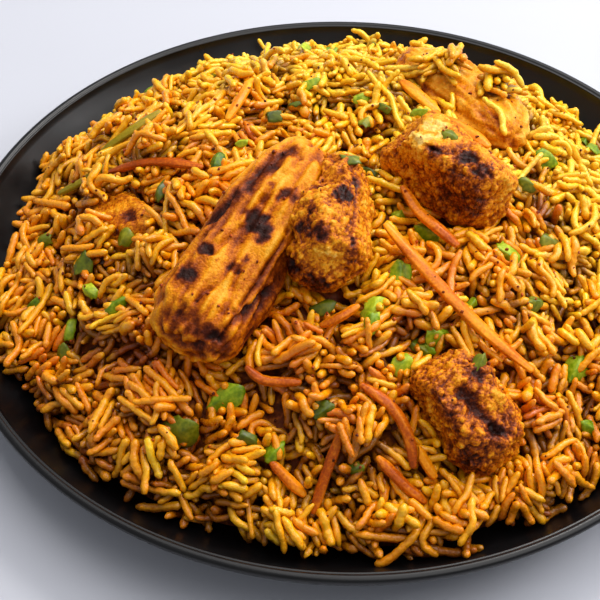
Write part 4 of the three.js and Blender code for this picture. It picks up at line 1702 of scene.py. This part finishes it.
# %% Where herbs lie
# pixel, length in millimetres and heading in degrees of each flake that shows
FRESH_HERBS = [
    ((216, 161), 5.6, 75), ((310, 82), 6.0, 10), ((362, 96), 4.6, 30), ((421, 111), 4.6, 0),
    ((398, 216), 6.2, 60), ((429, 231), 6.6, -35), ((400, 275), 6.6, 80), ((373, 310), 8.2, 60),
    ((440, 333), 8.0, 20), ((402, 363), 5.2, 25), ((224, 398), 8.6, 15), ((275, 452), 6.2, 40),
    ((113, 306), 6.8, 25), ((507, 254), 7.0, -25), ((90, 292), 5.0, -40), ((68, 331), 5.4, 80),
    ((371, 324), 5.4, 85), ((428, 347), 4.8, -30), ((241, 143), 3.8, 0), ((472, 304), 3.4, 50),
]
WILTED_HERBS = [
    ((275, 113), 5.0, 20), ((385, 107), 4.4, -20), ((365, 122), 4.6, 60), ((451, 136), 4.0, -30),
    ((352, 160), 5.2, -20), ((368, 170), 4.8, -35), ((321, 306), 6.4, 10), ((421, 349), 5.6, -20),
    ((480, 363), 5.0, 60), ((534, 302), 5.0, 20), ((530, 184), 4.6, -30), ((178, 432), 9.0, 10),
    ((249, 438), 5.4, -15), ((323, 411), 5.4, 30), ((354, 469), 3.8, 0), ((124, 239), 4.6, 40),
    ((80, 264), 6.4, 60), ((62, 356), 5.0, 70), ((159, 191), 5.8, 80), ((297, 104), 4.4, 0),
]
UNSEEN_HERBS = 34
print("herbs in the picture:", len(FRESH_HERBS) + len(WILTED_HERBS))

# %% A flake of herb
HERB_THICKNESS = 0.2 * MM
HERB_RINGS = 5
HERB_SIDES = 18


def herb_flake(length, fold, curl):
    """A thin torn flake in its own frame, lengthwise along x."""
    angle = np.linspace(0, 2 * np.pi, HERB_SIDES, endpoint=False)
    # a torn piece has a few straight edges between sharp corners: a polygon in polar form
    corners = rng.integers(4, 7)
    turn = (angle * corners / (2 * np.pi) + rng.uniform(0, 1)) % 1
    outline = np.cos(np.pi / corners) / np.cos(2 * np.pi / corners * (turn - 0.5))
    outline = outline * (1 + 0.16 * np.sin(angle + rng.uniform(0, 6.3)))
    outline = outline + rng.normal(0, 0.05, HERB_SIDES)
    share = np.linspace(0, 1, HERB_RINGS + 1)[1:, None]
    x = 0.5 * length * share * outline * np.cos(angle)
    y = rng.uniform(0.28, 0.46) * length * share * outline * np.sin(angle)
    z = -curl * (x * x + 1.5 * y * y) / length - fold * np.abs(y)
    z = z + 0.03 * length * np.sin(3 * angle + rng.uniform(0, 6.3)) * share**2
    top = np.concatenate([[[0, 0, 0]], np.stack([x, y, z], -1).reshape(-1, 3)])
    under = top - np.array([0, 0, HERB_THICKNESS])
    around = np.arange(HERB_SIDES)
    after = (around + 1) % HERB_SIDES
    rows = [
        np.stack([1 + HERB_SIDES * i + around, 1 + HERB_SIDES * (i + 1) + around,
                  1 + HERB_SIDES * (i + 1) + after, 1 + HERB_SIDES * i + after], -1)
        for i in range(HERB_RINGS - 1)
    ]
    quads = np.concatenate(rows)
    centre = np.stack([0 * around, 1 + around, 1 + after], -1)
    edge = 1 + HERB_SIDES * (HERB_RINGS - 1)
    rim = np.stack([edge + around, edge + around + len(top), edge + after + len(top), edge + after], -1)
    quads = np.concatenate([quads, quads[:, ::-1] + len(top), rim])
    return np.concatenate([top, under]), quads, np.concatenate([centre, centre[:, ::-1] + len(top)])


# %% Find what carries them
# the picture shows little of the mound behind and beside these
UNSEEN_BEHIND = 62 * MM
UNSEEN_RIGHT = 57 * MM
UNSEEN_LEFT = -88 * MM
FROM_ABOVE = 0.2
MOST_LAYERS = 12
bpy.context.view_layer.update()
packed_nodes = set(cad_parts)


def first_hit(origin, direction):
    """The first visible spot along a ray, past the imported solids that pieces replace."""
    view = bpy.context.evaluated_depsgraph_get()
    origin, direction = Vector(origin), Vector(direction)
    for _ in range(MOST_LAYERS):
        found, spot, normal, _, thing, _ = bpy.context.scene.ray_cast(view, origin, direction)
        if not found:
            return None
        if thing.name not in packed_nodes:
            return np.array(spot), np.array(normal)
        origin = spot + direction * 0.05 * MM
    return None


def over_mound(count, beyond_picture):
    """Spots and normals found by looking straight down on the mound."""
    spots = []
    while len(spots) < count:
        x, y = rng.uniform(-1, 1, 2) * HEAP_RADIUS
        unseen = y > UNSEEN_BEHIND or x > UNSEEN_RIGHT or x < UNSEEN_LEFT
        if np.hypot(x, y) < HEAP_RADIUS - 4 * MM and (unseen or not beyond_picture):
            hit = first_hit((x, y, FROM_ABOVE), (0, 0, -1))
            if hit:
                spots.append(hit)
    return spots


# %% Lay the flakes down
HERB_LIFT = 0.9 * MM
HERB_GROWTH = 1.35  # the listed lengths are what shows of flakes that stick out of the rice
LOOK_AROUND = 8  # pixels
HIGHEST_RISE = 2.5 * MM


def herb_mesh(name, wanted):
    """One mesh of flakes from (spot, length, heading) of each."""
    points, quads, ends, tones, offset = [], [], [], [], 0
    for spot, length, heading in wanted:
        flake, quad, end = herb_flake(length, rng.uniform(0.25, 0.85), rng.uniform(0.2, 0.9))
        up = dome_normal(spot[:1], spot[1:2])[0] + rng.normal(0, 0.22, 3)
        up = unit(up + np.array([0, -0.25, 0.1]))
        ahead = unit(np.cross([-np.sin(heading), np.cos(heading), 0], up))
        turned = np.stack([ahead, np.cross(up, ahead), up])
        points.append(flake @ turned + spot + up * HERB_LIFT)
        quads.append(quad + offset)
        ends.append(end + offset)
        tones.append(np.full(len(flake), rng.normal(0.5, 0.14)))
        offset += len(flake)
    points = np.concatenate(points)
    mesh = mesh_from_arrays(name, points, [np.concatenate(quads), np.concatenate(ends)])
    tone = np.concatenate(tones) + 0.2 * value_noise(points, 2.5 * MM, 71)
    paint(mesh, "tone", np.clip(tone, 0, 1))
    return mesh


def seen_herbs(listed):
    """A flake rests on the higher grains around the one that its pixel shows."""
    wanted = []
    for pixel, length, heading in listed:
        shifts = product((0, -LOOK_AROUND, LOOK_AROUND), repeat=2)
        around = [(pixel[0] + dx, pixel[1] + dy) for dx, dy in shifts]
        spots = np.array([first_hit(camera.location, sight_line(each))[0] for each in around])
        up = dome_normal(spots[:1, 0], spots[:1, 1])[0]
        line = np.array(sight_line(pixel))
        rise = np.clip(np.percentile((spots - spots[0]) @ up, 70), 0, HIGHEST_RISE)
        spot = spots[0] - line * rise / max(-(line @ up), 0.4)
        wanted.append((spot, HERB_GROWTH * length * MM, np.radians(heading)))
    return wanted


def strewn_herbs(count):
    """Flakes on the parts of the mound that the picture doesn't show."""
    return [
        (spot, rng.uniform(5, 10) * MM, rng.uniform(0, np.pi))
        for spot, _ in over_mound(count, True)
    ]


# %% [markdown]
# A leaf is greener along its veins and yellower between them. Fine noise stands for both the
# veins' colour and their relief, and fresh and wilted herbs differ only in their shades.

# %% Herb finish


def herb_material(name, shades):
    """A leaf finish from its shades, dark to light."""
    finish = Finish(name, Specular_IOR_Level=0.35)
    veins = finish.noise(1.1 * MM, 3)
    tone = finish.plus(finish.painted("tone"), finish.vary(veins, -0.16, 0.16))
    return finish.wear(
        colour=finish.ramp(tone, shades),
        roughness=finish.vary(veins, 0.3, 0.5),
        normal=finish.bump(veins, 0.4, 0.2 * MM),
    )


fresh_green = herb_material(
    "fresh_herb",
    [(0.1, colour_of(52, 88, 0)), (0.45, colour_of(118, 148, 2)), (0.9, colour_of(196, 208, 44))],
)
wilted_green = herb_material(
    "wilted_herb",
    [(0.1, colour_of(46, 58, 3)), (0.5, colour_of(94, 106, 6)), (0.9, colour_of(150, 148, 24))],
)

# %% Make the herbs
fresh = herb_mesh("fresh_herbs", seen_herbs(FRESH_HERBS) + strewn_herbs(UNSEEN_HERBS // 2))
wilted = herb_mesh("wilted_herbs", seen_herbs(WILTED_HERBS) + strewn_herbs(UNSEEN_HERBS // 2))
add_piece("fresh_herbs", fresh, fresh_green)
add_piece("wilted_herbs", wilted, wilted_green)
print("herb faces:", len(fresh.polygons) + len(wilted.polygons))

# %% [markdown]
# ## Masala crumbs
#
# Tiny dark crumbs of spice and crust cling to the grains. Dots painted on the rice would lie
# flat on it, and crumbs catch the light. So each is a ball of twelve points, pushed out of
# shape, and hundreds of them are joined in one mesh.

# %% A ball of twelve points


def crumb_ball():
    """The twelve points and twenty faces of an icosahedron."""
    golden = (1 + 5**0.5) / 2
    points = []
    for first, second in product((-1, 1), (-golden, golden)):
        points += [(0, first, second), (first, second, 0), (second, 0, first)]
    points = np.array(points) / np.hypot(1, golden)
    near = np.linalg.norm(points[:, None] - points[None], axis=2) < 1.1
    faces = [
        (a, b, c)
        for a in range(12) for b in range(a + 1, 12) for c in range(b + 1, 12)
        if near[a, b] and near[b, c] and near[a, c]
    ]
    turned_out = []
    for a, b, c in faces:
        normal = np.cross(points[b] - points[a], points[c] - points[a])
        turned_out.append((a, b, c) if normal @ points[a] > 0 else (c, b, a))
    return points, np.array(turned_out)


# %% Crumbs
CRUMB_COUNT = 520
CRUMB_SIZES = (0.25 * MM, 0.7 * MM)
CRUMB_DENTS = 0.16
ball_points, ball_faces = crumb_ball()
crumb_spots = over_mound(CRUMB_COUNT, False)
crumb_points, crumb_faces = [], []
for number, (spot, normal) in enumerate(crumb_spots):
    size = rng.uniform(*CRUMB_SIZES) * rng.uniform(0.5, 1, 3)
    shape = ball_points * size * rng.normal(1, CRUMB_DENTS, (12, 1))
    crumb_points.append(shape + spot + normal * size.min() * 0.5)
    crumb_faces.append(ball_faces + 12 * number)
crumbs_mesh = mesh_from_arrays(
    "masala_crumbs", np.concatenate(crumb_points), [np.concatenate(crumb_faces)]
)

# %% Crumb finish
crumb_finish = Finish("masala_crumb", Specular_IOR_Level=0.3, Roughness=0.45)
crumb_speckle = crumb_finish.noise(1.6 * MM, 2)
crumb_material = crumb_finish.wear(
    colour=crumb_finish.ramp(
        crumb_speckle,
        [(0.35, colour_of(64, 18, 2)), (0.5, colour_of(122, 40, 3)), (0.65, colour_of(196, 84, 6))],
    )
)
add_piece("masala_crumbs", crumbs_mesh, crumb_material)
print("crumbs:", len(crumb_spots))
